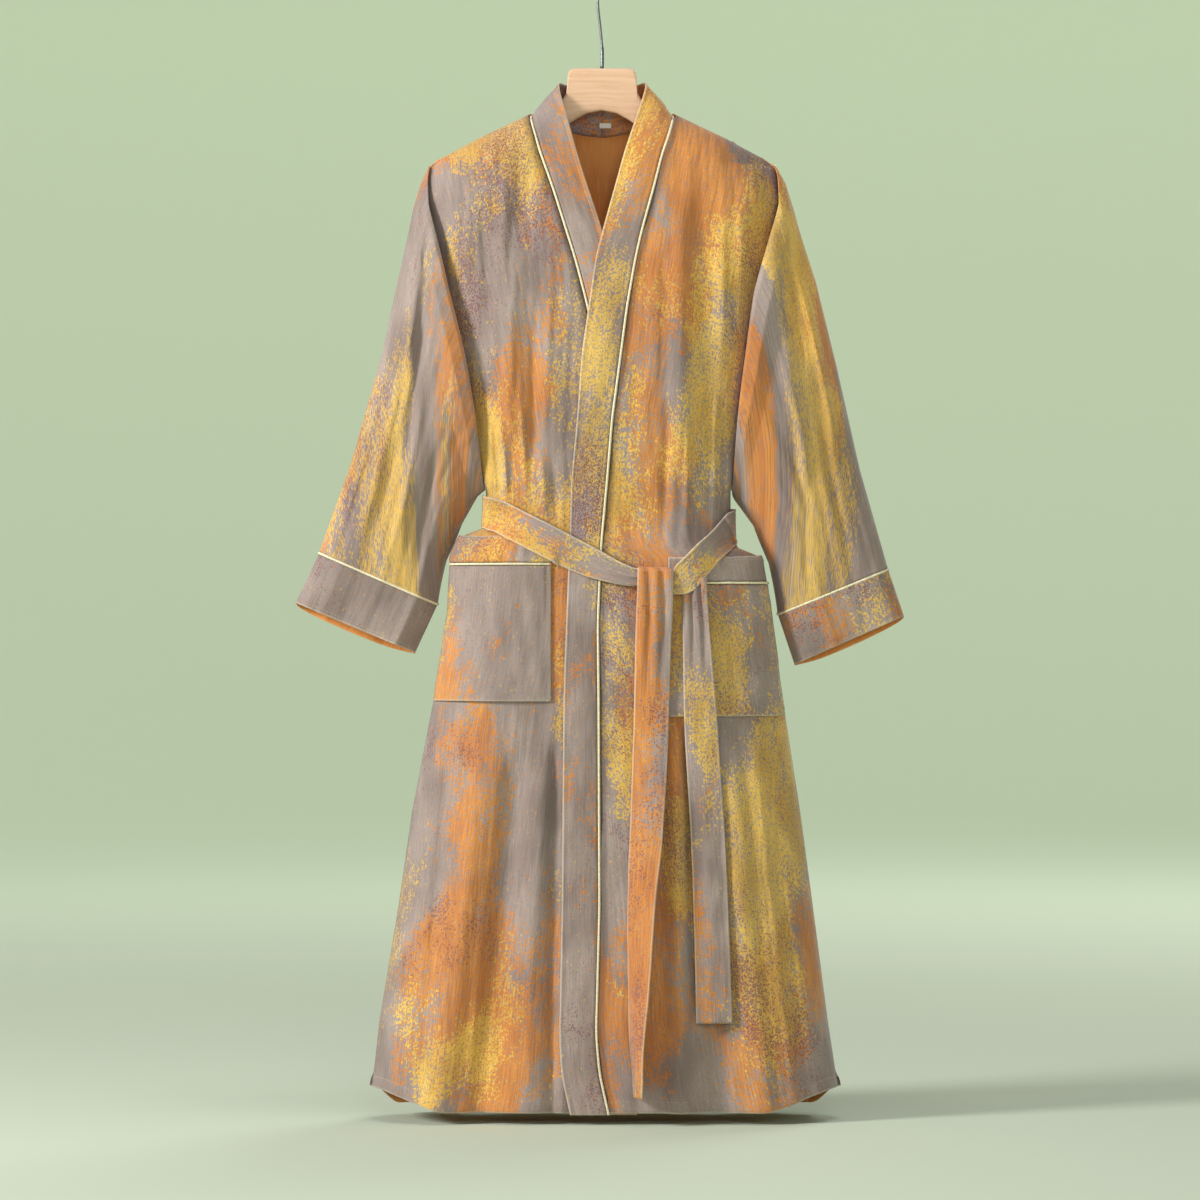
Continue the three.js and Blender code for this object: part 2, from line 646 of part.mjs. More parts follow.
// The belt's middle line round the waist
function beltLine() {
  const round = LAID_GAP + BELT_WALL + 2.5;
  const rightX = sideX(-1, BELT_BACK_RIGHT_Z) - round - 4;
  const leftX = sideX(1, BELT_BACK_LEFT_Z) + round + 2;
  const line = BELT_FRONT_RIGHT.map((row) => skinPoint(row.x, row.z, row.off + BELT_WALL));
  line.push(point(rightX + 5, -22, BELT_BACK_RIGHT_Z - 2));
  line.push(point(rightX, 0, BELT_BACK_RIGHT_Z));
  line.push(point(rightX + 6, 24, BELT_BACK_RIGHT_Z));
  for (const part of range(8)) {
    const x = mix(-112, 126, part);
    const z = mix(BELT_BACK_RIGHT_Z, BELT_BACK_LEFT_Z, part);
    line.push(point(x, bodyDepth(1, x, z) + round, z));
  }
  line.push(point(leftX - 6, 24, BELT_BACK_LEFT_Z));
  line.push(point(leftX, 0, BELT_BACK_LEFT_Z - 1));
  line.push(point(leftX - 5, -22, BELT_BACK_LEFT_Z - 5));
  line.push(...BELT_FRONT_LEFT.map((row) => skinPoint(row.x, row.z, row.off + BELT_WALL)));
  return line;
}

const BELT_STEPS = 54;

function beltGrid() {
  const line = beltLine();
  const curve = new THREE.CatmullRomCurve3(line);
  const rightEnd = BELT_FRONT_RIGHT.map((row) => row.half);
  const leftEnd = BELT_FRONT_LEFT.map((row) => row.half);
  const middle = Array(line.length - rightEnd.length - leftEnd.length).fill(BELT_WIDTH / 2);
  const halves = [...rightEnd, ...middle, ...leftEnd];
  return range(BELT_STEPS).map((part) => {
    const place = part * (line.length - 1);
    const row = Math.min(Math.floor(place), line.length - 2);
    const half = mix(halves[row], halves[row + 1], place - row);
    const here = curve.getPoint(part);
    const along = curve.getTangent(part);
    const flat = point(along.x, along.y, 0).normalize();
    const lean = point(-along.z * flat.x, -along.z * flat.y, Math.hypot(along.x, along.y)).normalize();
    return [-half, 0, half].map((up) => clearBelt(here.clone().addScaledVector(lean, up)));
  });
}

// How far a pocket stands on the front, for what crosses it
function pocketCover(x, z) {
  for (const pocket of Object.values(POCKETS)) {
    const across = pocket.side * (x - pocket.inner) > -POCKET_MARGIN;
    const down = z < pocket.top + 2 * POCKET_MARGIN && z > pocket.bottom - 2 * POCKET_MARGIN;
    if (!across || !down) continue;
    const overPiping = Math.abs(z - pocket.join) < 4 * POCKET_MARGIN;
    return LAID_GAP + WALL + (overPiping ? PIPING_RADIUS : 0);
  }
  return 0;
}

// The frontmost cloth under a strip that starts at x and is this wide
function skinUnder(x, width, z) {
  const across = range(4).map((part) => {
    const under = x + width * part;
    return skinPoint(under, z, pocketCover(under, z)).y;
  });
  return Math.min(...across);
}

// A belt point pushed out until it clears the cloth below it
function clearBelt(at) {
  const inFront = skinPoint(at.x, at.z, pocketCover(at.x, at.z)).y - BELT_ROOM;
  const behind = bodyDepth(1, at.x, at.z) + BELT_ROOM;
  if (at.y < -BELT_TURN) at.y = Math.min(at.y, inFront);
  if (at.y > BELT_TURN) at.y = Math.max(at.y, behind);
  return at;
}

// The front tail's end comes up behind the belt and over its top edge
const KNOT_WRAP = [
  { behind: 13.4, up: -22 },
  { behind: 13.4, up: 0 },
  { behind: 12, up: 8 },
  { behind: 6.3, up: 12 },
  { behind: 1.2, up: 8 },
];
const KNOT_PINCH = 0.22;

function tailGrid(table, wrap) {
  const rows = table.map((row) => {
    const turn = THREE.MathUtils.degToRad(row.turn);
    const skin = skinUnder(row.x, row.width * Math.cos(turn), row.z);
    const rest = skinPoint(row.x + row.width / 2, row.z, row.off).y;
    const y = Math.min(rest, skin - LAID_GAP) - BELT_WALL;
    return [0, 0.5, 1].map((across) => {
      const reach = row.width * across;
      return point(row.x + reach * Math.cos(turn), y - reach * Math.sin(turn), row.z);
    });
  });
  if (!wrap) return rows;
  const lead = KNOT_WRAP.map((row) => rows[0].map((at) => {
    const width = 1 - KNOT_PINCH * row.behind / KNOT_WRAP[0].behind;
    return point(mix(rows[0][0].x, at.x, width), at.y + row.behind, at.z + row.up);
  }));
  return [...lead, ...rows];
}

function hangerBar() {
  const shape = new THREE.Shape();
  shape.moveTo(-34, -148);
  shape.lineTo(34, -148);
  shape.quadraticCurveTo(40, -148, 41, -155);
  shape.lineTo(43, -180);
  shape.quadraticCurveTo(60, -197, 87, -207.6);
  shape.lineTo(150, -237.2);
  shape.quadraticCurveTo(186, -254, 196, -270);
  shape.quadraticCurveTo(198, -282, 186, -284);
  shape.quadraticCurveTo(160, -268, 110, -246);
  shape.quadraticCurveTo(60, -226, 38, -214);
  shape.quadraticCurveTo(0, -186, -38, -214);
  shape.quadraticCurveTo(-60, -226, -110, -246);
  shape.quadraticCurveTo(-160, -268, -186, -284);
  shape.quadraticCurveTo(-198, -282, -196, -270);
  shape.quadraticCurveTo(-186, -254, -150, -237.2);
  shape.lineTo(-87, -207.6);
  shape.quadraticCurveTo(-60, -197, -43, -180);
  shape.lineTo(-41, -155);
  shape.quadraticCurveTo(-40, -148, -34, -148);
  const depth = 12;
  const options = { depth: depth - 4, bevelThickness: 2, bevelSize: 2, bevelOffset: -2,
    bevelSegments: 1, curveSegments: 5 };
  const geometry = new THREE.ExtrudeGeometry(shape, options);
  geometry.rotateX(Math.PI / 2);
  geometry.translate(0, depth / 2 - 2, 0);
  return geometry;
}

// The wire rises from the bar, drifts aside and ends in an open arc over the origin
function hookPath() {
  const points = [point(0, 0, -147.7), point(0, 0, -124), point(-2, 0, -100), point(-5, 0, -70)];
  points.push(point(-3, 0, -57));
  const centreZ = HOOK_SHAFT - HOOK_ARC;
  for (let degrees = -70; degrees <= 190; degrees += 20) {
    const angle = THREE.MathUtils.degToRad(degrees);
    points.push(point(HOOK_ARC * Math.cos(angle), 0, centreZ + HOOK_ARC * Math.sin(angle)));
  }
  return points;
}

const clothPieces = [
  ['back', wall(backGrid(), WALL, { half: 1 })],
  ['front_right', wall(frontGrid(-1), WALL, { mirrored: true, half: -1 })],
  ['front_left', wall(frontGrid(1), WALL, { half: -1 })],
  ['band_right', wall(bandGrid(-1), WALL, { mirrored: true })],
  ['band_left', wall(bandGrid(1), WALL)],
];
for (const [name, sleeve] of Object.entries(SLEEVES)) {
  const tube = { closedAcross: true, mirrored: sleeve.side > 0 };
  const cuffStations = [CUFF_START, mix(CUFF_START, CUFF_END, 0.5), CUFF_END];
  const sleeveRings = SLEEVE_STATIONS.map((at) => sleeveRing(sleeve, at));
  const cuffRings = cuffStations.map((at) => sleeveRing(sleeve, at));
  clothPieces.push([`sleeve_${name}`, wall(sleeveRings, WALL, tube)]);
  clothPieces.push([`cuff_${name}`, wall(cuffRings, WALL, tube)]);
}
for (const [name, pocket] of Object.entries(POCKETS)) {
  const facing = { mirrored: pocket.side < 0 };
  const bag = pocketGrid(pocket, pocket.join - PIPING_ROOM, pocket.bottom, 7);
  const band = pocketGrid(pocket, pocket.top, pocket.join + PIPING_ROOM, 3);
  clothPieces.push([`pocket_${name}`, wall(bag, WALL, facing)]);
  clothPieces.push([`pocket_band_${name}`, wall(band, WALL, facing)]);
}
for (const [name, geometry] of clothPieces) {
  add(name, geometry, COLOURS.cloth);
}

for (const [name, sleeve] of Object.entries(SLEEVES)) {
  add(`cuff_piping_${name}`, ringPiping(sleeve, 1), COLOURS.piping);
}
for (const [name, pocket] of Object.entries(POCKETS)) {
  const row = pocketGrid(pocket, pocket.join, pocket.join - 1, 1)[0];
  add(`pocket_piping_${name}`, cord(row, PIPING_RADIUS, 12), COLOURS.piping);
}
for (const [name, side] of [['right', -1], ['left', 1]]) {
  const path = bandStations(side).seam;
  add(`band_piping_${name}`, cord(path, PIPING_RADIUS, 56), COLOURS.piping);
}

add('belt_waist', wall(beltGrid(), BELT_WALL), COLOURS.belt);
add('belt_tail_front', wall(tailGrid(TAIL_FRONT, true), BELT_WALL, { mirrored: true }), COLOURS.belt);
add('belt_tail_behind', wall(tailGrid(TAIL_BEHIND, false), BELT_WALL, { mirrored: true }), COLOURS.belt);

const label = new THREE.BoxGeometry(14, 0.8, 6);
label.translate(4, 35.1, -214);
add('neck_label', label, COLOURS.label);

add('hanger_bar', hangerBar(), COLOURS.beech, 0.5);
add('hanger_hook', cord(hookPath(), HOOK_SHAFT, 60, 8), COLOURS.steel, 0.35, 0.9);

export default group;
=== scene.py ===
import math

import bmesh
import bpy
import numpy as np
from mathutils import Matrix, Vector


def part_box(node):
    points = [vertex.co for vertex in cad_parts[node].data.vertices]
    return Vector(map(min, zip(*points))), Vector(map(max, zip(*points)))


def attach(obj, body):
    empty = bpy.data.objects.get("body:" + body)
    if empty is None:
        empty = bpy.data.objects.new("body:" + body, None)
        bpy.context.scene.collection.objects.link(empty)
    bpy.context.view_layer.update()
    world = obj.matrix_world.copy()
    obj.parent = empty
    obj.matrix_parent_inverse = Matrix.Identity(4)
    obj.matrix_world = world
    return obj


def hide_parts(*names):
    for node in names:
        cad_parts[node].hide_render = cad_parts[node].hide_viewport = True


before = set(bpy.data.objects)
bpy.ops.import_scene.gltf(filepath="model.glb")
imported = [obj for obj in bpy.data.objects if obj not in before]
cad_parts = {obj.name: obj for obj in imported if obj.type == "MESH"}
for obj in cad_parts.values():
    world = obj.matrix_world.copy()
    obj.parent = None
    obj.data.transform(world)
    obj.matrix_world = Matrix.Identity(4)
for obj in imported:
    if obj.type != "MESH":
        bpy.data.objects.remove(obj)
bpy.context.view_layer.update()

bl_info = {
    "name": "Kimono bathrobe",
    "version": (1, 0, 0),
    "blender": (4, 5, 0),
    "location": "View3D > Sidebar > Robe",
    "description": "Builds the cloth, trim, hanger and stage of a kimono bathrobe",
    "category": "Object",
}

MM = 0.001

# Sizes that the CAD model has too
SEAM_GAP = 0.3
LAID_GAP = 0.9
LAID_WALL = 2.0
PIPING_RADIUS = 1.5
PIPING_ROOM = PIPING_RADIUS + 0.7
NECK_COVER = 2.2
ARMHOLE_GAP = 0.5
NECK_HALF = 87
SHOULDER_TIP = 206
SHOULDER_TIP_Z = -266
SHOULDER_ROUND = 42
SHOULDER_ROWS_END = -330
UNDERARM_Z = -656
ARMHOLE_DEPTH = 32
ARMHOLE_TUCK = 8
SIDE_ROUND = 95
HEM_Z = -1400
HEM_CORNER_RISE = 26
HEM_CORNER_REACH = 100
HEM_CORNER_START = -1350
OVERLAP_LIFT = 6
FOLD_FADE = 90
BELT_WIDTH = 38
BELT_WALL = 2.4
BELT_ROOM = BELT_WALL + 2.2
BELT_TURN = 5
POCKET_SIDE_INSET = 3
POCKET_MARGIN = 8
UNDERSIDE = 14
UNDERSIDE_WIDTH = {"right": 24, "left": 11}
CUFF_DROP = 8
SLEEVE_START = 0.0
SLEEVE_END = 0.9965
CUFF_START = 1.0035
CUFF_END = 1.15
SEAM_FADE = 0.2
HOOK_WIRE = 1.6
HOOK_SHAFT = 2.3
HOOK_ARC = 24


def table(names, *rows):
    """Columns by name, sorted by the first one, so that np.interp can read them."""
    rows = sorted(rows)
    return {name: np.array([row[i] for row in rows], float) for i, name in enumerate(names.split())}


def look(rows, name, value):
    key = next(iter(rows))
    return np.interp(value, rows[key], rows[name])


SHOULDER = table("x z", (0, -158), (87, -203), (150, -233), (194, -257), (206, -266), (216, -284))

# The body's sides and its depth in front and behind
BODY = table(
    "z right left front back",
    (-203, -204, 204, 36, 38),
    (-266, -208, 209, 44, 44),
    (-310, -207, 211, 49, 48),
    (-413, -188, 187, 55, 52),
    (-486, -171, 178, 56, 52),
    (-567, -155, 166, 53, 48),
    (-656, -140, 155, 45, 41),
    (-684, -139, 155, 42, 39),
    (-702, -143, 156, 43, 40),
    (-714, -174, 158, 46, 43),
    (-726, -180, 164, 49, 46),
    (-738, -183, 194, 51, 48),
    (-804, -187, 205, 57, 54),
    (-909, -203, 218, 61, 58),
    (-1044, -229, 239, 65, 62),
    (-1156, -245, 254, 68, 66),
    (-1294, -268, 272, 72, 70),
    (-1400, -280, 288, 76, 74),
)

# Hanging folds from a top to an end: a ridge is positive, measured outwards
FOLD_COLUMNS = "top_x top_z end_x end_z width height"
FRONT_FOLDS = (
    (-92, -235, -100, -400, 11, -6),
    (118, -260, 120, -640, 15, -7),
    (92, -300, 96, -640, 14, 5),
    (-112, -360, -110, -650, 15, 6),
    (-128, -935, -205, -1420, 24, 9),
    (-96, -935, -148, -1420, 22, -8),
    (-75, -935, -88, -1420, 20, 7),
    (84, -935, 100, -1420, 20, 9),
    (110, -935, 138, -1420, 18, -9),
    (150, -935, 192, -1420, 24, 8),
)
BACK_FOLDS = (
    (-110, -300, -86, -650, 20, -8),
    (-52, -420, -48, -655, 15, 6),
    (20, -380, 14, -655, 17, -6),
    (74, -330, 64, -655, 16, 7),
    (128, -320, 108, -650, 18, -7),
    (-118, -725, -214, -1420, 26, 11),
    (-72, -725, -142, -1420, 24, -11),
    (-34, -725, -76, -1420, 22, 10),
    (4, -725, -6, -1420, 24, -12),
    (42, -725, 68, -1420, 22, 10),
    (84, -725, 140, -1420, 24, -10),
    (126, -725, 216, -1420, 26, 10),
)

# Smaller creases that the CAD walls leave out, in the same columns
FRONT_CREASES = (
    (-150, -238, -128, -300, 6, -2.2),
    (-168, -262, -150, -330, 5, 1.8),
    (-120, -262, -118, -420, 7, 1.6),
    (-142, -300, -136, -470, 6, -1.8),
    (-66, -330, -62, -560, 9, 1.5),
    (-84, -420, -80, -640, 7, -1.9),
    (-98, -520, -92, -668, 5, 2.2),
    (-122, -540, -113, -690, 3.6, 3.2),
    (-131, -560, -121, -690, 3.4, -2.6),
    (-74, -590, -70, -690, 4.5, 1.8),
    (-60, -610, -58, -702, 3.8, -1.5),
    (64, -330, 62, -560, 8, 1.4),
    (78, -540, 74, -735, 5, -2.2),
    (104, -560, 100, -735, 4.5, 2.4),
    (137, -520, 133, -720, 4, 2.6),
    (147, -560, 145, -718, 3.4, -2.8),
    (152, -248, 162, -320, 6, -2.2),
    (168, -280, 166, -430, 8, 2.4),
    (186, -300, 172, -520, 6, -1.8),
    (142, -320, 146, -520, 7, 1.5),
    (-178, -420, -160, -600, 7, 2),
    (-166, -470, -148, -640, 5, -1.9),
    (-238, -1120, -252, -1440, 9, 3),
    (-262, -1262, -214, -1300, 6, 1.8),
    (-248, -1288, -206, -1318, 5, -1.4),
    (-182, -940, -222, -1440, 7, -2.2),
    (-116, -950, -168, -1440, 6, 1.8),
    (-56, -600, -55, -722, 6, -3.2),
    (-56, -935, -60, -1440, 8, -4.6),
    (88, -900, 92, -1300, 7, 2.6),
    (102, -925, 107, -1440, 6.5, -4.2),
    (-52, -1180, -54, -1440, 8, 1.8),
    (70, -940, 74, -1440, 7, -1.8),
    (98, -930, 120, -1440, 4.5, -1.6),
    (128, -935, 160, -1440, 6, 1.8),
    (166, -950, 214, -1440, 6, -2),
    (182, -950, 234, -1440, 5, 1.8),
    (196, -960, 250, -1440, 5, -1.7),
    (214, -1090, 270, -1440, 6, 2),
    (262, -1320, 238, -1352, 7, 1.8),
    (178, -820, 186, -930, 6, 0.8),
)
BACK_CREASES = (
    (-148, -262, -138, -380, 7, -2),
    (-132, -300, -118, -520, 6, 1.8),
    (-70, -262, -74, -440, 8, 1.5),
    (58, -270, 54, -420, 8, -1.5),
    (150, -270, 140, -420, 7, 2),
    (-128, -520, -116, -690, 4, 2.8),
    (-100, -560, -94, -680, 4, -2.2),
    (-66, -590, -64, -680, 4, 2),
    (-34, -570, -30, -680, 5, -2.2),
    (-8, -600, -8, -690, 4, 2),
    (38, -560, 36, -690, 4.5, 2.4),
    (92, -580, 88, -690, 4, -2.2),
    (118, -560, 112, -695, 4, 2.4),
    (140, -560, 132, -700, 4, -2),
    (-148, -735, -236, -1440, 7, -3),
    (-96, -725, -176, -1440, 7, 2.6),
    (-54, -725, -108, -1440, 6, -2.4),
    (-16, -725, -38, -1440, 6, -2.4),
    (22, -725, 34, -1440, 7, 2.2),
    (62, -725, 104, -1440, 6, -2.6),
    (104, -725, 178, -1440, 6, 2.4),
    (146, -735, 246, -1440, 8, -3),
    (-210, -1150, -262, -1440, 8, 2.4),
    (196, -1100, 266, -1440, 8, 2.4),
)

BAND_LINES = table(
    "z right_seam right_edge left_seam left_edge",
    (-250, -75, -31, 73, 27),
    (-291, -60, -18, 63, 16),
    (-345, -43, 0, 48, 1),
    (-380, -32, 9, 40, -8),
    (-437, -17, 19, 30, -16),
    (-491, -7, 26, 23, -24),
    (-573, 0, 32, 12, -30),
    (-647, 3, 38, 6, -37),
    (-723, 5, 41, -1, -39),
    (-815, 6, 45, -5, -43),
    (-909, 6, 47, -4, -46),
    (-1156, 5, 48, -3, -48),
    (-1307, 6, 50, -7, -51),
    (-1353, 4, 49, -3, -49),
    (-1402, 0, 42, 8, -38),
)

# The collar's seam and free edge by the length along it, from the middle of the back neck
COLLAR = (
    ("seam_x", "seam_z", "behind", "edge_x", "edge_y", "edge_z"),
    (0.02, -226, 1, 0.02, 34, -176),
    (20, -225, 1, 14, 33.5, -175),
    (40, -220.5, 1, 27, 30.5, -172),
    (58, -213, 1, 38, 24, -168),
    (72, -208, 1, 46, 16, -165),
    (82, -205, 1, 51, 9, -164),
    (87, -203.6, 0, 53.5, 2, -164.5),
    (86, -207, -1, 53, -5, -168),
    (85, -212, -1, 51, -12, -175),
    (83.5, -219, -1, 48, -18, -188),
    (81, -229, -1, 43, -24, -203),
)
NECK_SIDE = table("z x", (-203.6, 87), (-207, 86), (-212, 85), (-219, 83.5), (-229, 81), (-250, 74))
BACK_NECK = table(
    "x z", (0, -229.5), (20, -228.5), (40, -224), (58, -216.5), (72, -211.5), (87, -206)
)

SLEEVE_OUTER = {
    "right": table(
        "at x z", (0, -206, -266), (0.05, -216, -286), (0.12, -227, -318), (0.3, -246, -402),
        (0.5, -267, -500), (0.75, -303, -625), (1, -341, -732), (1.15, -369, -792),
    ),
    "left": table(
        "at x z", (0, 206, -266), (0.05, 218, -286), (0.12, 231, -322), (0.3, 258, -406),
        (0.5, 283, -508), (0.75, 311, -632), (1, 345, -752), (1.15, 364, -808),
    ),
}
SLEEVE_UNDER = {
    "right": table(
        "at x z", (0, -141, -655), (0.2, -157, -669), (0.5, -178, -704), (0.75, -192, -744),
        (1, -199, -794), (1.15, -226, -852),
    ),
    "left": table(
        "at x z", (0, 156, -655), (0.2, 167, -674), (0.5, 192, -706), (0.75, 206, -748),
        (1, 213, -806), (1.15, 233, -866),
    ),
}
SLEEVE_DEPTHS = table(
    "at reach extra", (0, 0, 0), (0.006, 9, 9), (0.018, 17, 17), (0.04, 18, 24), (0.09, 8, 27),
    (0.2, 0, 18), (0.5, 0, 10), (0.8, 0, 2), (1, 0, -6), (1.15, 0, -15),
)

POCKETS = {
    "right": {"side": -1, "inner": -61, "top": -714, "join": -746, "bottom": -910},
    "left": {"side": 1, "inner": 79, "top": -738, "join": -769, "bottom": -928},
}
SIDES = {"right": -1, "left": 1}


def mix(a, b, part):
    return a + (b - a) * part


def smooth(start, end, value):
    part = np.clip((value - start) / (end - start), 0, 1)
    return part * part * (3 - 2 * part)


def shoulder_z(x):
    return look(SHOULDER, "z", np.abs(x))


def armhole_part(z):
    """0 at the underarm and 1 at the shoulder tip."""
    return np.clip((z - UNDERARM_Z) / (SHOULDER_TIP_Z - UNDERARM_Z), 0, 1)


def armhole_belly(part):
    return (1 - np.abs(2 * part - 1) ** 2.4) ** (1 / 2.4)


def armhole_depth(z):
    return ARMHOLE_DEPTH * armhole_belly(armhole_part(z)) + SEAM_GAP / 2


def side_x(side, z):
    """Where the side seam or the armhole seam runs."""
    tuck = ARMHOLE_TUCK * np.sin(np.pi * armhole_part(z))
    return np.where(side < 0, look(BODY, "right", z), look(BODY, "left", z)) + side * tuck


def fold_height(folds, x, z, fade=FOLD_FADE):
    height = 0.0
    for top_x, top_z, end_x, end_z, width, size in folds:
        part = (z - top_z) / (end_z - top_z)
        across = (x - mix(top_x, end_x, part)) / width
        fade_out = 1 if end_z < HEM_Z else smooth(0, fade, z - end_z)
        inside = (part > 0) & (part < 1)
        height = height + inside * size * np.exp(-across * across) * smooth(0, fade, top_z - z) * fade_out
    return height


def body_depth(facing, x, z):
    """How far the cloth stands from the middle plane, in front (-1) or behind (1)."""
    side = np.where(x < 0, -1, 1)
    inset = np.maximum(side * (side_x(side, z) - x), 0)
    rounded = np.minimum(inset / SIDE_ROUND, 1)
    rise = (1 - (1 - rounded) ** 2) ** mix(0.5, 1, smooth(0, 0.12, armhole_part(z)))
    full = look(BODY, "front" if facing < 0 else "back", z)
    folds = fold_height(FRONT_FOLDS if facing < 0 else BACK_FOLDS, x, z) * smooth(0, 0.5, rounded)
    edge = armhole_depth(z)
    drop = np.clip((shoulder_z(x) - z) / SHOULDER_ROUND, 0, 1)
    arch = np.sqrt(1 - (1 - drop) ** 2)
    return SEAM_GAP / 2 + (edge - SEAM_GAP / 2 + (full - edge) * rise + folds) * arch


def overlap(x, z):
    """The wearer's left front lies over the right one near the middle."""
    return OVERLAP_LIFT * smooth(-235, -325, z) * (1 - smooth(95, 140, x))


def front_y(side, x, z):
    lift = overlap(x, z) if side > 0 else 0
    return -body_depth(-1, x, z) - lift


def skin_y(x, z):
    """The front's outermost cloth, which the belt crosses."""
    return -body_depth(-1, x, z) - overlap(x, z) * smooth(-115, -55, x)


def waver(x, z, wide, tall, seed):
    """A smooth uneven value from about -1 to 1, the same on each run."""
    total = np.zeros_like(np.asarray(x, float) + np.asarray(z, float))
    for i in range(5):
        turn = seed * 2.4 + i * 1.9
        grow = 1.55 ** i
        phase = seed * 7.3 + i * 4.1
        along = x / wide * np.cos(0.35 * turn) + z / tall * 0.6 * np.sin(turn)
        bend = 1.3 * np.sin(z / tall * 1.7 * grow + phase)
        total += np.sin(2 * np.pi * grow * along + bend + phase) / grow
    return total / 2.2


def seam_x(side, z):
    name = "right_seam" if side < 0 else "left_seam"
    above = side * look(NECK_SIDE, "x", z)
    return np.where(z > BAND_LINES["z"][-1], above, look(BAND_LINES, name, z))


# The height of the belt's middle line across the front
BELT_HEIGHTS = table(
    "x z", (-124, -688), (-105, -698), (-70, -716), (-20, -741), (30, -760), (66, -766),
    (104, -757), (124, -737), (143, -712),
)
BELT_BACK_RIGHT_Z = -682
BELT_BACK_LEFT_Z = -698
ARMHOLE_VALLEY = 19


def rows_down(top_z, low_z, down):
    """Heights down a panel: close rows over the shoulder, then even ones to the hem."""
    shoulder = 0.1
    upper = mix(top_z, SHOULDER_ROWS_END, np.clip(down / shoulder, 0, 1) ** 1.8)
    lower = mix(SHOULDER_ROWS_END, HEM_Z, np.clip((down - shoulder) / (1 - shoulder), 0, 1))
    rise = (low_z - HEM_Z) * smooth(HEM_CORNER_START, HEM_Z, lower)
    return np.where(down < shoulder, upper, lower + rise)


def hem_z(side, x, facing):
    inset = np.maximum(side * (side_x(side, np.full_like(x, HEM_Z)) - x), 0)
    reach = HEM_CORNER_REACH if facing < 0 else HEM_CORNER_REACH / 3
    return HEM_Z + HEM_CORNER_RISE * (1 - smooth(0, reach, inset))


def hem_rim(z, low_z):
    """The turned-up hem stands a little proud, with a groove where it is sewn."""
    up = z - low_z
    return 0.7 * smooth(15, 12.5, up) - 0.5 * np.exp(-((up - 14) / 1.6) ** 2)


def belt_height(x):
    """Where the belt crosses the front."""
    return look(BELT_HEIGHTS, "z", x)


def pocket_share(x, z):
    """1 where a pocket lies on the front and 0 away from it."""
    share = 0.0
    for pocket in POCKETS.values():
        across = smooth(-14, -4, pocket["side"] * (x - pocket["inner"]))
        down = smooth(pocket["top"] + 16, pocket["top"] + 6, z) * smooth(
            pocket["bottom"] - 16, pocket["bottom"] - 6, z)
        share = np.maximum(share, across * down)
    return share


def front_relief(side, x, z):
    """Creases of a front, flat under its pocket and low under the belt."""
    inset = np.abs(side_x(side, z) - x)
    inner = np.abs(x - seam_x(side, z) - side * PIPING_ROOM)
    calm = smooth(0, 14, inset) * smooth(0, 26, shoulder_z(x) - z)
    relief = fold_height(FRONT_CREASES, x, z, 60) * (0.35 + 0.65 * smooth(0, 16, inner))
    relief += 0.9 * waver(x, z, 62, 240, 1 + side) + 0.5 * waver(x, z, 17, 190, 4 + side)
    relief *= CREASES["depth"] * calm
    under_belt = smooth(44, 20, np.abs(z - belt_height(x)))
    relief = np.where(relief > 0.8, mix(relief, 0.8, under_belt), relief)
    return mix(relief, 0.2 * np.tanh(relief), pocket_share(x, z))


def front_place(side):
    def place(across, down):
        edge_z = rows_down(SHOULDER_TIP_Z, HEM_Z, down)
        inner_x = seam_x(side, rows_down(-204, HEM_Z, down)) + side * PIPING_ROOM
        top_x = mix(side * SHOULDER_TIP, side * (NECK_HALF + PIPING_ROOM + 1), across)
        x = mix(top_x, mix(side_x(side, edge_z), inner_x, across), smooth(0, 0.012, down))
        low_z = hem_z(side, x, -1)
        z = rows_down(shoulder_z(top_x), low_z, down)
        valley = ARMHOLE_VALLEY * np.exp(-(np.abs(side_x(side, z) - x) / 17) ** 2) * np.sin(
            np.pi * armhole_part(z))
        y = front_y(side, x, z) - front_relief(side, x, z) - hem_rim(z, low_z) + valley
        return np.stack([x, y, z], -1)
    return place


def back_place(across, down):
    spread = 2 * across - 1
    side = np.where(spread < 0, -1, 1)
    top_x = spread * SHOULDER_TIP
    in_neck = np.abs(top_x) < NECK_HALF
    top_z = np.where(in_neck, look(BACK_NECK, "z", np.abs(top_x)), shoulder_z(top_x))
    edge_z = rows_down(SHOULDER_TIP_Z, HEM_Z, down)
    x = spread * mix(SHOULDER_TIP, side * side_x(side, edge_z), smooth(0, 0.012, down))
    low_z = hem_z(side, x, 1)
    z = rows_down(top_z, low_z, down)
    inset = np.abs(side_x(side, z) - x)
    calm = smooth(0, 14, inset) * smooth(0, 26, top_z - z)
    relief = fold_height(BACK_CREASES, x, z, 60)
    relief += 1.1 * waver(x, z, 66, 260, 7) + 0.5 * waver(x, z, 19, 210, 9)
    relief *= CREASES["depth"] * calm
    belt_z = mix(BELT_BACK_RIGHT_Z, BELT_BACK_LEFT_Z, (x + 112) / 238)
    under_belt = smooth(44, 20, np.abs(z - belt_z))
    relief = np.where(relief > 0.8, mix(relief, 0.8, under_belt), relief)
    y = body_depth(1, x, z) + relief + hem_rim(z, low_z)
    tucked = in_neck * smooth(0.012, 0, down)
    return np.stack([x, y - 2.8 * tucked, z + 5 * tucked], -1)


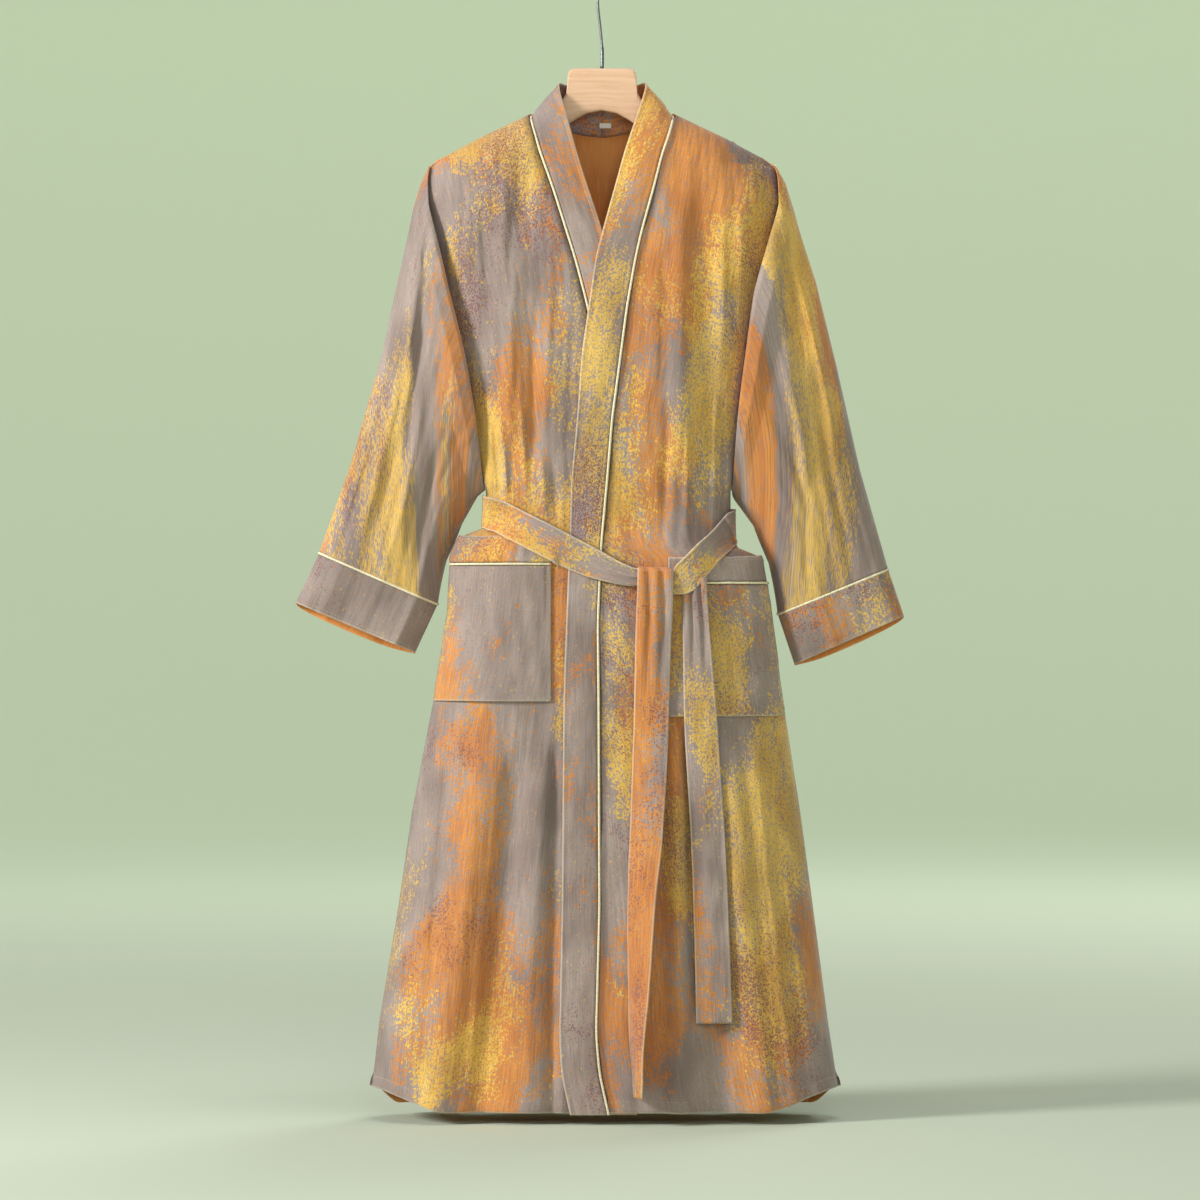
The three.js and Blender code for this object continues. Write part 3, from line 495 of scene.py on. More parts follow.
def band_lines(side):
    """The band's seam and free edge as two lines of points, from the back neck to the hem."""
    name = "right" if side < 0 else "left"
    collar = [dict(zip(COLLAR[0], row)) for row in COLLAR[1:]]
    last = collar[-1]
    first_z = BAND_LINES["z"][-1]
    seam, edge = [], []
    for row in collar:
        x = side * row["seam_x"]
        depth = float(body_depth(row["behind"], x, row["seam_z"]))
        seam.append((x, row["behind"] * depth, row["seam_z"]))
        edge.append((side * row["edge_x"], row["edge_y"], row["edge_z"]))
    heights = [-236, -243, -250, -262, *np.linspace(-275, -1402, 130)]
    for z in heights:
        part = min((last["seam_z"] - z) / (last["seam_z"] - first_z), 1)
        x = float(seam_x(side, z))
        edge_x = mix(side * last["edge_x"], float(look(BAND_LINES, name + "_edge", first_z)), part)
        edge_z = mix(last["edge_z"], first_z, part)
        if part >= 1:
            edge_x = float(look(BAND_LINES, name + "_edge", z))
            edge_z = z
        seam.append((x, float(front_y(side, x, z)), z))
        edge.append((edge_x, float(front_y(side, edge_x, edge_z)) - 1, edge_z))
    return rounded_line(np.array(seam)), rounded_line(np.array(edge))


def rounded_line(points, passes=2):
    """The same line with its corners eased."""
    eased = points.copy()
    for _ in range(passes):
        eased[1:-1] = (eased[:-2] + 2 * eased[1:-1] + eased[2:]) / 4
    return eased


def along(points, part):
    """Points at shares of a line's length."""
    lengths = np.linalg.norm(np.diff(points, axis=0), axis=1)
    total = np.concatenate([[0], np.cumsum(lengths)])
    at = np.asarray(part) * total[-1]
    return np.stack([np.interp(at, total, points[:, i]) for i in range(3)], -1)


def band_place(side, body_share=1.0):
    seam, edge = band_lines(side)
    lengths = np.concatenate([[0], np.cumsum(np.linalg.norm(np.diff(seam, axis=0), axis=1))])
    shares = lengths / lengths[-1]
    normals = band_normals(seam, edge)

    def place(across, down):
        from_seam = np.stack([np.interp(down, shares, seam[:, i]) for i in range(3)], -1)
        to_edge = np.stack([np.interp(down, shares, edge[:, i]) for i in range(3)], -1)
        normal = np.stack([np.interp(down, shares, normals[:, i]) for i in range(3)], -1)
        width = np.linalg.norm(to_edge - from_seam, axis=1)
        in_neck = smooth(0.071, 0.060, down)
        part = mix(mix(PIPING_ROOM, -NECK_COVER, in_neck) / width, 1, across)
        flat = mix(from_seam, to_edge, part[:, None])
        from_edge = width * (1 - part)
        crown = 1.1 * np.sin(np.pi * np.clip(across, 0, 1)) + 0.5 * smooth(6, 0, from_edge)
        wave = 0.7 * waver(across * 30, down * 1300, 60, 150, 12 + side)
        wave += 0.45 * waver(across * 40, down * 1300, 45, 34, 15 + side)
        groove = -0.45 * np.exp(-((from_edge - 5) / 1.0) ** 2)
        lift = CREASES["depth"] * (crown + wave * smooth(0, 0.1, across) + groove)
        lift = lift * smooth(0, 0.02, down) - in_neck * NECK_COVER * smooth(9, 2, width * part)
        return flat + normal * lift[:, None]
    return place


def band_normals(seam, edge):
    """Outward directions down a band."""
    down = np.gradient(seam, axis=0)
    normal = np.cross(edge - seam, down)
    normal /= np.linalg.norm(normal, axis=1)[:, None]
    outward = np.stack([np.zeros(len(seam)), -np.ones(len(seam)), np.zeros(len(seam))], -1)
    outward[0] = (0, 1, 0.2)
    sign = np.sign(np.sum(normal[-1] * outward[-1]))
    return normal * sign


# Folds down a sleeve: from a place to a place by length and by turn, in front (-1) or behind (1)
SLEEVE_FOLDS = {
    "right": (
        (-1, 0.06, 0.88, 0.42, 0.74, 0.050, 5.5),
        (-1, 0.16, 0.72, 0.62, 0.52, 0.055, -5.0),
        (-1, 0.28, 0.62, 0.96, 0.34, 0.060, 4.0),
        (-1, 0.40, 0.80, 0.95, 0.72, 0.050, 3.2),
        (-1, 0.30, 0.36, 0.98, 0.16, 0.045, -3.0),
        (-1, 0.48, 0.66, 1.20, 0.60, 0.040, -2.6),
        (-1, 0.56, 0.46, 1.20, 0.46, 0.034, 2.2),
        (-1, 0.66, 0.86, 1.20, 0.84, 0.030, -1.8),
        (1, 0.10, 0.80, 0.70, 0.62, 0.055, 5.0),
        (1, 0.22, 0.60, 0.90, 0.44, 0.055, -4.5),
        (1, 0.40, 0.42, 1.20, 0.26, 0.050, 3.5),
        (1, 0.52, 0.78, 1.20, 0.74, 0.045, -3.0),
    ),
    "left": (
        (-1, 0.05, 0.80, 0.40, 0.70, 0.050, -5.5),
        (-1, 0.14, 0.90, 0.70, 0.82, 0.050, 4.5),
        (-1, 0.20, 0.62, 0.66, 0.48, 0.055, 4.0),
        (-1, 0.34, 0.50, 0.98, 0.30, 0.055, -3.8),
        (-1, 0.46, 0.72, 1.20, 0.66, 0.045, -3.2),
        (-1, 0.50, 0.38, 1.20, 0.36, 0.040, 2.6),
        (-1, 0.62, 0.90, 1.20, 0.90, 0.030, 2.0),
        (-1, 0.70, 0.56, 1.20, 0.54, 0.030, -1.8),
        (1, 0.08, 0.74, 0.66, 0.58, 0.055, -5.0),
        (1, 0.20, 0.88, 0.90, 0.80, 0.050, 4.2),
        (1, 0.36, 0.50, 1.20, 0.34, 0.055, 3.8),
        (1, 0.50, 0.66, 1.20, 0.60, 0.045, -3.0),
    ),
}


def sleeve_folds(name, at, part, facing):
    height = np.zeros_like(at)
    for face, start_at, start, end_at, end, width, size in SLEEVE_FOLDS[name]:
        share = (at - start_at) / (end_at - start_at)
        across = (part - mix(start, end, share)) / width
        fade_out = 1 if end_at > CUFF_END else smooth(1, 0.75, share)
        inside = (share > 0) & (share < 1) & (facing == face)
        height += inside * size * np.exp(-across * across) * smooth(0, 0.25, share) * fade_out
    return height


def sleeve_middle(name, at, part):
    outer, under = SLEEVE_OUTER[name], SLEEVE_UNDER[name]
    ends = [(look(line, "x", at), look(line, "z", at)) for line in (under, outer)]
    return mix(ends[0][0], ends[1][0], part), mix(ends[0][1], ends[1][1], part)


def crease_place(name, at):
    """Where the sleeve's front folds back to its underside, as a share of the way up."""
    under, outer = SLEEVE_UNDER[name], SLEEVE_OUTER[name]
    wide = look(outer, "x", at) - look(under, "x", at)
    tall = look(outer, "z", at) - look(under, "z", at)
    return UNDERSIDE_WIDTH[name] * smooth(-0.02, 0.5, at) / np.hypot(wide, tall)


def sleeve_place(name, start, end, relief=1.0):
    """A ring turns from the under fold, over the front, to the outer fold and back behind."""
    side = SIDES[name]

    def place(across, down):
        at = mix(start, end, down)
        turn = 2 * np.pi * across
        part = (1 - np.cos(turn)) / 2
        facing = np.where(np.sin(turn) > 0, -1, 1)
        x, z = sleeve_middle(name, at, part)
        x_start, z_start = sleeve_middle(name, np.zeros_like(at), part)
        seam_z = mix(UNDERARM_Z, SHOULDER_TIP_Z, part)
        apart = ARMHOLE_GAP
        fade = 1 - smooth(0, SEAM_FADE, at)
        x = x + (side_x(side, seam_z) + side * apart - x_start) * fade
        z = z + (seam_z - z_start) * fade
        behind = np.exp(-((np.where(turn > np.pi, turn - 2 * np.pi, turn) + 0.5) / 0.32) ** 2)
        x = x - side * UNDERSIDE * behind * smooth(0, 0.22, at) * (1 - 0.6 * smooth(0.5, 1, at))
        taper = np.sin(np.pi * part)
        extra = look(SLEEVE_DEPTHS, "extra", at)
        depth = ARMHOLE_DEPTH * armhole_belly(part) + extra * taper
        crease = crease_place(name, at)
        edge = ARMHOLE_DEPTH * armhole_belly(crease) + extra * np.sin(np.pi * crease) + 2 * smooth(0.1, 0.3, at)
        folded = (facing < 0) & (part < crease)
        depth = np.where(folded, edge * part / crease, depth)
        depth += (facing < 0) * (part >= crease) * 2 * smooth(0.1, 0.3, at) * np.exp(-(part - crease) / 0.05)
        depth -= (facing < 0) * ARMHOLE_VALLEY * taper * smooth(0.014, 0, at)
        x = x - side * look(SLEEVE_DEPTHS, "reach", at) * taper
        calm = smooth(0.01, 0.09, at) * np.clip(taper * 2.2, 0, 1)
        calm = calm * np.where(facing < 0, smooth(crease, crease + 0.06, part), 1)
        calm = calm * (1 - 0.6 * smooth(0.72, 1, at))
        folds = sleeve_folds(name, at, part, facing)
        folds += 1.0 * waver(part * 300, at * 480, 80, 300, 20 + side) * smooth(0, 0.2, at)
        folds += 0.6 * waver(part * 300 + 90 * facing, at * 480, 24, 200, 23 + side)
        pucker = 2.2 * np.exp(-((at - 0.035) / 0.03) ** 2) * waver(part * 390, at * 9, 26, 400, 31)
        depth = depth + CREASES["depth"] * relief * (folds + pucker) * calm
        return np.stack([x, facing * depth, z], -1)
    return place


def cuff_place(name):
    """The cuff is a doubled band with a pressed edge."""
    sleeve = sleeve_place(name, CUFF_START, CUFF_END, 0.8)

    def place(across, down):
        points = sleeve(across, down)
        ahead = sleeve(across, np.ones_like(down)) - sleeve(across, np.zeros_like(down))
        ahead /= np.linalg.norm(ahead, axis=1)[:, None]
        behind = np.maximum(-np.sin(2 * np.pi * across), 0) ** 0.7
        points += ahead * (CUFF_DROP * behind * down)[:, None]
        length = 62 * down
        proud = 0.8 - 0.5 * np.exp(-((62 - length - 5) / 1.2) ** 2)
        proud = proud + 0.5 * waver(across * 560, length, 70, 60, 27)
        points[:, 1] += np.sign(points[:, 1]) * proud * np.clip(np.abs(np.sin(2 * np.pi * across)) * 3, 0, 1)
        return points
    return place


def laid_points(side, x, z, off):
    """Points on a front panel, moved straight out from the cloth."""
    y = front_y(side, x, z)
    slope_x = front_y(side, x + 1, z) - y
    slope_z = front_y(side, x, z + 1) - y
    normal = np.stack([slope_x, -np.ones_like(x), slope_z], -1)
    normal /= np.linalg.norm(normal, axis=1)[:, None]
    return np.stack([x, y, z], -1) + normal * np.asarray(off)[..., None]


def pocket_place(pocket, top, bottom, seed):
    side = pocket["side"]

    def place(across, down):
        z = mix(top, bottom, down)
        outer = side_x(side, z) - side * POCKET_SIDE_INSET
        x = mix(outer, pocket["inner"], across)
        edge = np.minimum(np.abs(x - pocket["inner"]), np.abs(z - pocket["bottom"]))
        groove = -0.5 * np.exp(-((edge - 4.5) / 1.0) ** 2)
        wave = 0.9 * waver(x, z, 52, 110, seed) + 0.5 * waver(x, z, 14, 120, seed + 3)
        calm = smooth(0, 12, edge)
        crown = 1.6 * np.sin(np.pi * across) * smooth(0, 0.3, down if top == pocket["top"] else down + 0.3)
        off = LAID_GAP + LAID_WALL + CREASES["depth"] * (crown + wave * calm + groove)
        return laid_points(side, x, z, off)
    return place


# The belt's ends at the front: place across, height, distance off the cloth and half its width
BELT_COLUMNS = ("x", "z", "off", "half")
BELT_FRONT_RIGHT = (
    (60, -762, 7.2, 9),
    (30, -760, 7, 12),
    (-20, -741, 6.8, 18),
    (-70, -716, 6.5, 19),
    (-105, -698, 4.6, 19),
    (-124, -688, 2, 19),
)
BELT_FRONT_LEFT = (
    (151, -709, 4, 18),
    (139, -721, 9, 18),
    (126, -734, 12.5, 18),
    (112, -749, 12.8, 18),
    (98, -763, 12.4, 18),
    (86, -770, 11.4, 13),
    (66, -770, 10.4, 9),
)
TAIL_COLUMNS = ("z", "x", "width", "turn", "off")
TAIL_FRONT = (
    (-757, 43, 41, 0, 15),
    (-777, 43, 41, 0, 15),
    (-800, 42, 42, 0, 10.5),
    (-850, 40, 42, 0, 5.5),
    (-956, 37, 42, 4, 3.5),
    (-1054, 34, 42, 20, 2),
    (-1143, 32, 42, 40, 2),
    (-1247, 33, 42, 54, 2),
    (-1307, 34, 42, 65, 2),
    (-1379, 39, 40, 78, 2),
)
TAIL_BEHIND = (
    (-762, 97, 26, 0, 5),
    (-786, 97, 28, 0, 5),
    (-880, 97, 36, 0, 4.6),
    (-932, 98, 39, 0, 5),
    (-975, 100, 40, 0, 3),
    (-1080, 106, 41, 0, 2),
    (-1200, 110, 42, 0, 2),
    (-1293, 112, 43, 0, 2),
)
KNOT_WRAP = ((13.4, -26), (13.4, -5), (12, 2), (6.3, 5.5), (1.2, 2))
KNOT_PINCH = 0.22


def pocket_cover(x, z):
    """How far a pocket stands on the front, for what crosses it."""
    cover = np.zeros_like(x)
    for pocket in POCKETS.values():
        across = pocket["side"] * (x - pocket["inner"]) > -POCKET_MARGIN
        down = (z < pocket["top"] + 2 * POCKET_MARGIN) & (z > pocket["bottom"] - 2 * POCKET_MARGIN)
        over_piping = np.abs(z - pocket["join"]) < 4 * POCKET_MARGIN
        height = LAID_GAP + LAID_WALL + PIPING_RADIUS * over_piping
        cover = np.where(across & down & (cover == 0), height, cover)
    return cover


def curve_points(points, count):
    """A smooth curve through points, each span with the same number of steps."""
    padded = np.vstack([2 * points[0] - points[1], points, 2 * points[-1] - points[-2]])
    at = np.linspace(0, len(points) - 1, count)
    row = np.minimum(at.astype(int), len(points) - 2)
    t = (at - row)[:, None]
    a, b, c, d = (padded[row + i] for i in range(4))
    bend = 2 * b + (c - a) * t + (2 * a - 5 * b + 4 * c - d) * t ** 2
    return (bend + (3 * b - a - 3 * c + d) * t ** 3) / 2


def belt_line():
    gap = LAID_GAP + BELT_WALL + 2.5
    right_x = float(side_x(-1, BELT_BACK_RIGHT_Z)) - gap
    left_x = float(side_x(1, BELT_BACK_LEFT_Z)) + gap
    line = []

    def add_front(rows):
        for x, z, off, half in rows:
            line.append((x, float(skin_y(x, z)) - off - BELT_WALL, z, half))

    add_front(BELT_FRONT_RIGHT)
    half = BELT_WIDTH / 2
    line.append((right_x + 5, -22, BELT_BACK_RIGHT_Z - 2, half))
    line.append((right_x, 0, BELT_BACK_RIGHT_Z, half))
    line.append((right_x + 6, 24, BELT_BACK_RIGHT_Z, half))
    for part in np.linspace(0, 1, 9):
        x = mix(-112, 126, part)
        z = mix(BELT_BACK_RIGHT_Z, BELT_BACK_LEFT_Z, part)
        line.append((x, float(body_depth(1, x, z)) + gap, z, half))
    line.append((left_x - 6, 24, BELT_BACK_LEFT_Z, half))
    line.append((left_x, 0, BELT_BACK_LEFT_Z - 1, half))
    line.append((left_x - 5, -22, BELT_BACK_LEFT_Z - 5, half))
    add_front(BELT_FRONT_LEFT)
    return curve_points(np.array(line, float), 240)


def belt_place():
    line = belt_line()
    ahead = np.gradient(line[:, :3], axis=0)
    ahead /= np.linalg.norm(ahead, axis=1)[:, None]
    flat = ahead * (1, 1, 0)
    flat /= np.linalg.norm(flat, axis=1)[:, None]
    level = np.hypot(ahead[:, 0], ahead[:, 1])
    lean = np.stack([-ahead[:, 2] * flat[:, 0], -ahead[:, 2] * flat[:, 1], level], -1)
    lean = rounded_line(lean, 90)
    lean /= np.linalg.norm(lean, axis=1)[:, None]
    outward = np.cross(lean, ahead)
    shares = np.linspace(0, 1, len(line))

    def place(across, down):
        here = np.stack([np.interp(down, shares, line[:, i]) for i in range(3)], -1)
        half = np.interp(down, shares, line[:, 3])
        up = np.stack([np.interp(down, shares, lean[:, i]) for i in range(3)], -1)
        out = np.stack([np.interp(down, shares, outward[:, i]) for i in range(3)], -1)
        points = here + up * (half * (1 - 2 * across))[:, None]
        in_front = skin_y(points[:, 0], points[:, 2]) - pocket_cover(points[:, 0], points[:, 2])
        behind = body_depth(1, points[:, 0], points[:, 2])
        y = points[:, 1]
        y = np.where(y < -BELT_TURN, np.minimum(y, in_front - BELT_ROOM), y)
        y = np.where(y > BELT_TURN, np.maximum(y, behind + BELT_ROOM), y)
        points[:, 1] = y
        gathered = 1 - smooth(9, 18, half)
        ribs = np.sin(across * np.pi * 5 + 0.6) * gathered * 1.6
        edge = half * 2 * np.minimum(across, 1 - across)
        pressed = 0.35 * smooth(3, 0, edge) - 0.3 * np.exp(-((edge - 4) / 0.9) ** 2)
        wave = 0.6 * waver(across * 38, down * 900, 60, 70, 41) + pressed
        return points + out * ((ribs + wave) * CREASES["depth"])[:, None]
    return place


def tail_place(rows, wrap, seed):
    lines = []
    for z, x, width, turn, off in rows:
        turn = math.radians(turn)
        reach = np.linspace(0, 1, 9) * width * math.cos(turn)
        level = np.full_like(reach, z)
        creased = np.maximum(front_relief(1, x + reach, level), 0)
        skin = float(np.min(skin_y(x + reach, level) - pocket_cover(x + reach, level) - creased))
        middle = float(skin_y(x + width / 2, z)) - off
        lines.append((x, min(middle, skin - LAID_GAP) - BELT_WALL, z, width, turn))
    if wrap:
        x, y, z, width, turn = lines[0]
        lead = []
        for behind, up in KNOT_WRAP:
            narrow = 1 - KNOT_PINCH * behind / KNOT_WRAP[0][0]
            lead.append((x, y + behind, z + up, width * narrow, turn))
        lines = lead + lines
    smooth_line = curve_points(np.array(lines, float), 200)
    shares = np.linspace(0, 1, len(smooth_line))
    top = lines[0][2]

    def place(across, down):
        x, y, z, width, turn = (np.interp(down, shares, smooth_line[:, i]) for i in range(5))
        reach = width * across
        curl = 1.6 * np.sin(np.pi * across) * smooth(0.1, 0.5, down)
        wave = 1.3 * waver(across * 40, z, 60, 210, seed) * smooth(0.2, 0.5, down)
        ribs = 1.5 * np.sin(across * np.pi * 5 + 1.1 * np.sin(z / 60)) * smooth(top - 150, top - 20, z)
        edge = width * np.minimum(across, 1 - across)
        pressed = 0.35 * smooth(3, 0, edge) - 0.3 * np.exp(-((edge - 4) / 0.9) ** 2)
        out = (curl + wave + ribs + pressed) * CREASES["depth"]
        return np.stack([
            x + reach * np.cos(turn) - out * np.sin(turn),
            y - reach * np.sin(turn) - out * np.cos(turn),
            z,
        ], -1)
    return place


# Settings that the operators read while they run
CREASES = {"depth": 1.0}


def facing_out(points, columns, rows, closed):
    """Outward normals of a grid of points, by the grid's own turn."""
    grid = points.reshape(rows + 1, columns + 1, 3)
    across = np.gradient(grid, axis=1)
    if closed:
        across[:, 0] = across[:, -1] = grid[:, 1] - grid[:, -2]
    down = np.gradient(grid, axis=0)
    normal = np.cross(across, down)
    return normal / np.maximum(np.linalg.norm(normal, axis=2), 1e-9)[..., None]


def cloth(name, place, columns, rows, *, flip, origin, pressed="", closed=False, spread=None, grow=-1,
          shaded=False):
    """A sheet of cloth: a grid whose vertices go where place says, with its grain as a UV map.

    flip turns the faces over, origin is where the sheet lay on the bolt, grow says which way its
    length ran, and pressed names the edges that are folded and pressed: l, r, t and b. The material
    paints a highlight along the pressed edges, and shaded paints shade near the left and right edges.
    """
    mesh_builder = bmesh.new()
    bmesh.ops.create_grid(mesh_builder, x_segments=columns, y_segments=rows, size=1)
    mesh = bpy.data.meshes.new(name)
    mesh_builder.to_mesh(mesh)
    mesh_builder.free()
    flat = np.empty(len(mesh.vertices) * 3)
    mesh.vertices.foreach_get("co", flat)
    flat = flat.reshape(-1, 3)
    across = (flat[:, 0] + 1) / 2
    down = (1 - flat[:, 1]) / 2
    order = np.lexsort((np.round(across, 6), np.round(down, 6)))
    spread_across = spread(across) if spread else across
    points = place(spread_across, down)
    grid = points[order].reshape(rows + 1, columns + 1, 3)
    step_x = np.linalg.norm(np.diff(grid, axis=1), axis=2)
    step_z = np.linalg.norm(np.diff(grid, axis=0), axis=2)
    from_left = np.pad(np.cumsum(step_x, axis=1), ((0, 0), (1, 0)))
    from_top = np.pad(np.cumsum(step_z, axis=0), ((1, 0), (0, 0)))
    from_right = from_left[:, -1:] - from_left
    from_bottom = from_top[-1:] - from_top
    edges = {"l": from_left, "r": from_right, "t": from_top, "b": from_bottom}
    near = np.full(from_left.shape, 50.0)
    for edge in pressed:
        near = np.minimum(near, edges[edge])
    middle = from_left - from_left[:, -1:] * 0.5
    grain_x = (middle if closed else (from_left if spread is None else middle)) + origin[0]
    grain_z = grow * from_top + origin[1]
    place_of = np.empty(len(order), int)
    place_of[order] = np.arange(len(order))
    mesh.vertices.foreach_set("co", (points * MM).ravel())
    corners = np.empty(len(mesh.loops), int)
    mesh.loops.foreach_get("vertex_index", corners)
    at = place_of[corners]
    grain = mesh.uv_layers.new(name="Grain")
    grain.data.foreach_set("uv", (np.stack([grain_x.ravel()[at], grain_z.ravel()[at]], -1) * MM).ravel())
    # The Edge map holds the distance to the pressed edges, where a highlight is painted, and to the left and
    # right edges of shaded sheets, where shade is painted
    edge_map = mesh.uv_layers.new(name="Edge")
    seam_shade_distance = np.minimum(from_left, from_right) if shaded else np.full(from_left.shape, 50.0)
    edge_map.data.foreach_set("uv", (np.stack([near.ravel()[at], seam_shade_distance.ravel()[at]], -1) * MM).ravel())
    finish = bmesh.new()
    finish.from_mesh(mesh)
    if flip:
        bmesh.ops.reverse_faces(finish, faces=finish.faces)
    if closed:
        bmesh.ops.remove_doubles(finish, verts=finish.verts, dist=0.02 * MM)
    for face in finish.faces:
        face.smooth = True
    finish.to_mesh(mesh)
    finish.free()
    return shown(bpy.data.objects.new(name, mesh))


def shown(piece):
    bpy.context.scene.collection.objects.link(piece)
    return piece


def dress(piece, nodes, slot, *materials):
    """Gives a piece its materials, hangs it under the root and hides the CAD nodes that it stands for."""
    for material in materials:
        piece.data.materials.append(material)
    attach(piece, "root")
    if nodes:
        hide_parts(*nodes)
    return piece


def thicken(piece, thickness, reverse=True, inward=True):
    """The wall of a cloth piece, whose inner face shows the cloth's reverse."""
    wall = piece.modifiers.new("Wall", "SOLIDIFY")
    wall.thickness = thickness * MM
    wall.offset = -1 if inward else 1
    wall.use_even_offset = False
    wall.material_offset = 1 if reverse else 0
    wall.material_offset_rim = 0
    return piece


def frames_along(points, upright):
    """Unit side and up vectors along a line of points."""
    ahead = np.gradient(points, axis=0)
    ahead /= np.linalg.norm(ahead, axis=1)[:, None]
    side = np.cross(ahead, upright)
    side /= np.maximum(np.linalg.norm(side, axis=1), 1e-9)[:, None]
    return ahead, side, np.cross(side, ahead)


def tube(name, points, radius, sides=10, closed=False, seed=0):
    """A round cord through points, with its length and turn as a UV map."""
    points = np.asarray(points, float)
    upright = np.array([0.13, 0.9, 0.41])
    lengths = np.concatenate([[0], np.cumsum(np.linalg.norm(np.diff(points, axis=0), axis=1))])
    ahead, side, up = frames_along(points, upright)
    if closed:
        ends = points[1] - points[-2]
        ahead[0] = ahead[-1] = ends / np.linalg.norm(ends)
        side[0] = side[-1] = np.cross(ahead[0], upright)
        side[[0, -1]] /= np.linalg.norm(side[0])
        up[[0, -1]] = np.cross(side[0], ahead[0])
    shares = np.linspace(0, 1, len(points))
    radii = np.broadcast_to(np.asarray(radius, float), (len(points),))

    def place(across, down):
        turn = 2 * np.pi * across
        here = np.stack([np.interp(down, shares, points[:, i]) for i in range(3)], -1)
        aside = np.stack([np.interp(down, shares, side[:, i]) for i in range(3)], -1)
        above = np.stack([np.interp(down, shares, up[:, i]) for i in range(3)], -1)
        size = np.interp(down, shares, radii)
        round_it = aside * np.cos(turn)[:, None] + above * np.sin(turn)[:, None]
        return here + round_it * size[:, None]

    steps = max(int(lengths[-1] / 3.2), len(points) - 1)
    piece = cloth(name, place, sides, steps, flip=True, origin=(seed * 40, seed * 310), closed=True)
    builder = bmesh.new()
    builder.from_mesh(piece.data)
    if closed:
        bmesh.ops.remove_doubles(builder, verts=builder.verts, dist=0.05 * MM)
    else:
        open_edges = [edge for edge in builder.edges if edge.is_boundary]
        bmesh.ops.holes_fill(builder, edges=open_edges, sides=sides)
    bmesh.ops.recalc_face_normals(builder, faces=builder.faces)
    for face in builder.faces:
        face.smooth = len(face.verts) == 4
    builder.to_mesh(piece.data)
    builder.free()
    return piece


class Value:
    """A shader socket that Python's operators can add, mix and compare."""

    def __init__(self, tree, socket):
        self.tree = tree
        self.socket = socket

    def math(self, operation, *others, clamp=False):
        settings = {"operation": operation, "use_clamp": clamp}
        return make(self.tree, "ShaderNodeMath", settings, dict(enumerate((self, *others))))

    def __add__(self, other):
        return self.math("ADD", other)

    __radd__ = __add__

    def __sub__(self, other):
        return self.math("SUBTRACT", other)

    def __rsub__(self, other):
        return make(self.tree, "ShaderNodeMath", {"operation": "SUBTRACT"}, {0: other, 1: self})

    def __mul__(self, other):
        return self.math("MULTIPLY", other)

    __rmul__ = __mul__

    def __truediv__(self, other):
        return self.math("DIVIDE", other)

    def __lt__(self, other):
        return self.math("LESS_THAN", other)

    def __gt__(self, other):
        return self.math("GREATER_THAN", other)

    def step(self, low, high):
        """0 below low and 1 above high, smoothly."""
        settings = {"interpolation_type": "SMOOTHSTEP"}
        return make(self.tree, "ShaderNodeMapRange", settings, {0: self, 1: low, 2: high, 3: 0.0, 4: 1.0})


def make(tree, kind, settings=None, inputs=None, output=0):
    """Adds a node: its settings first, then the values or links of its sockets."""
    node = tree.nodes.new(kind)
    for name, value in (settings or {}).items():
        if name == "stops":
            ramp = node.color_ramp
            while len(ramp.elements) < len(value):
                ramp.elements.new(0.5)
            for element, (place, colour) in zip(ramp.elements, value):
                element.position = place
                element.color = colour
        else:
            setattr(node, name, value)
    for name, value in (inputs or {}).items():
        socket = node.inputs[name]
        if isinstance(value, Value):
            tree.links.new(value.socket, socket)
        else:
            socket.default_value = value
    return Value(tree, node.outputs[output])


def blend(tree, share, first, second):
    """A colour between two colours."""
    settings = {"data_type": "RGBA", "blend_type": "MIX"}
    return make(tree, "ShaderNodeMix", settings, {0: share, 6: first, 7: second}, output=2)


def scaled(tree, vector, by, shift=(0, 0, 0)):
    moved = {"operation": "MULTIPLY_ADD"}
    return make(tree, "ShaderNodeVectorMath", moved, {0: vector, 1: by, 2: shift})


def noise(tree, vector, scale, detail=2.0, roughness=0.5, distortion=0.0, colour=False, flat=False):
    inputs = {"Vector": vector, "Scale": scale, "Detail": detail, "Roughness": roughness,
              "Distortion": distortion}
    settings = {"noise_dimensions": "2D" if flat else "3D"}
    return make(tree, "ShaderNodeTexNoise", settings, inputs, output=int(colour))


def linear(hex_colour):
    """The colour of an sRGB hex number, as a shader socket takes it."""
    parts = [(hex_colour >> shift & 255) / 255 for shift in (16, 8, 0)]
    return (*[p / 12.92 if p <= 0.04045 else ((p + 0.055) / 1.055) ** 2.4 for p in parts], 1.0)


def new_material(name, base, roughness, settings=None, bump=None, bump_distance=0.001, bump_strength=1.0):
    """A material with one main shader; what varies goes in as links."""
    material = bpy.data.materials.new(name)
    material.use_nodes = True
    tree = material.node_tree
    tree.nodes.clear()
    inputs = {"Base Color": base(tree) if callable(base) else base}
    inputs["Roughness"] = roughness(tree) if callable(roughness) else roughness
    for socket, value in (settings or {}).items():
        inputs[socket] = value(tree) if callable(value) else value
    if bump:
        height = bump(tree)
        strengths = {"Strength": bump_strength, "Distance": bump_distance, "Height": height}
        inputs["Normal"] = make(tree, "ShaderNodeBump", {}, strengths)
    shader = make(tree, "ShaderNodeBsdfPrincipled", {}, inputs)
    output = tree.nodes.new("ShaderNodeOutputMaterial")
    tree.links.new(shader.socket, output.inputs["Surface"])
    return material


def grain_of(tree):
    return make(tree, "ShaderNodeUVMap", {"uv_map": "Grain"})


def edge_of(tree):
    both = make(tree, "ShaderNodeUVMap", {"uv_map": "Edge"})
    return make(tree, "ShaderNodeSeparateXYZ", {}, {0: both})


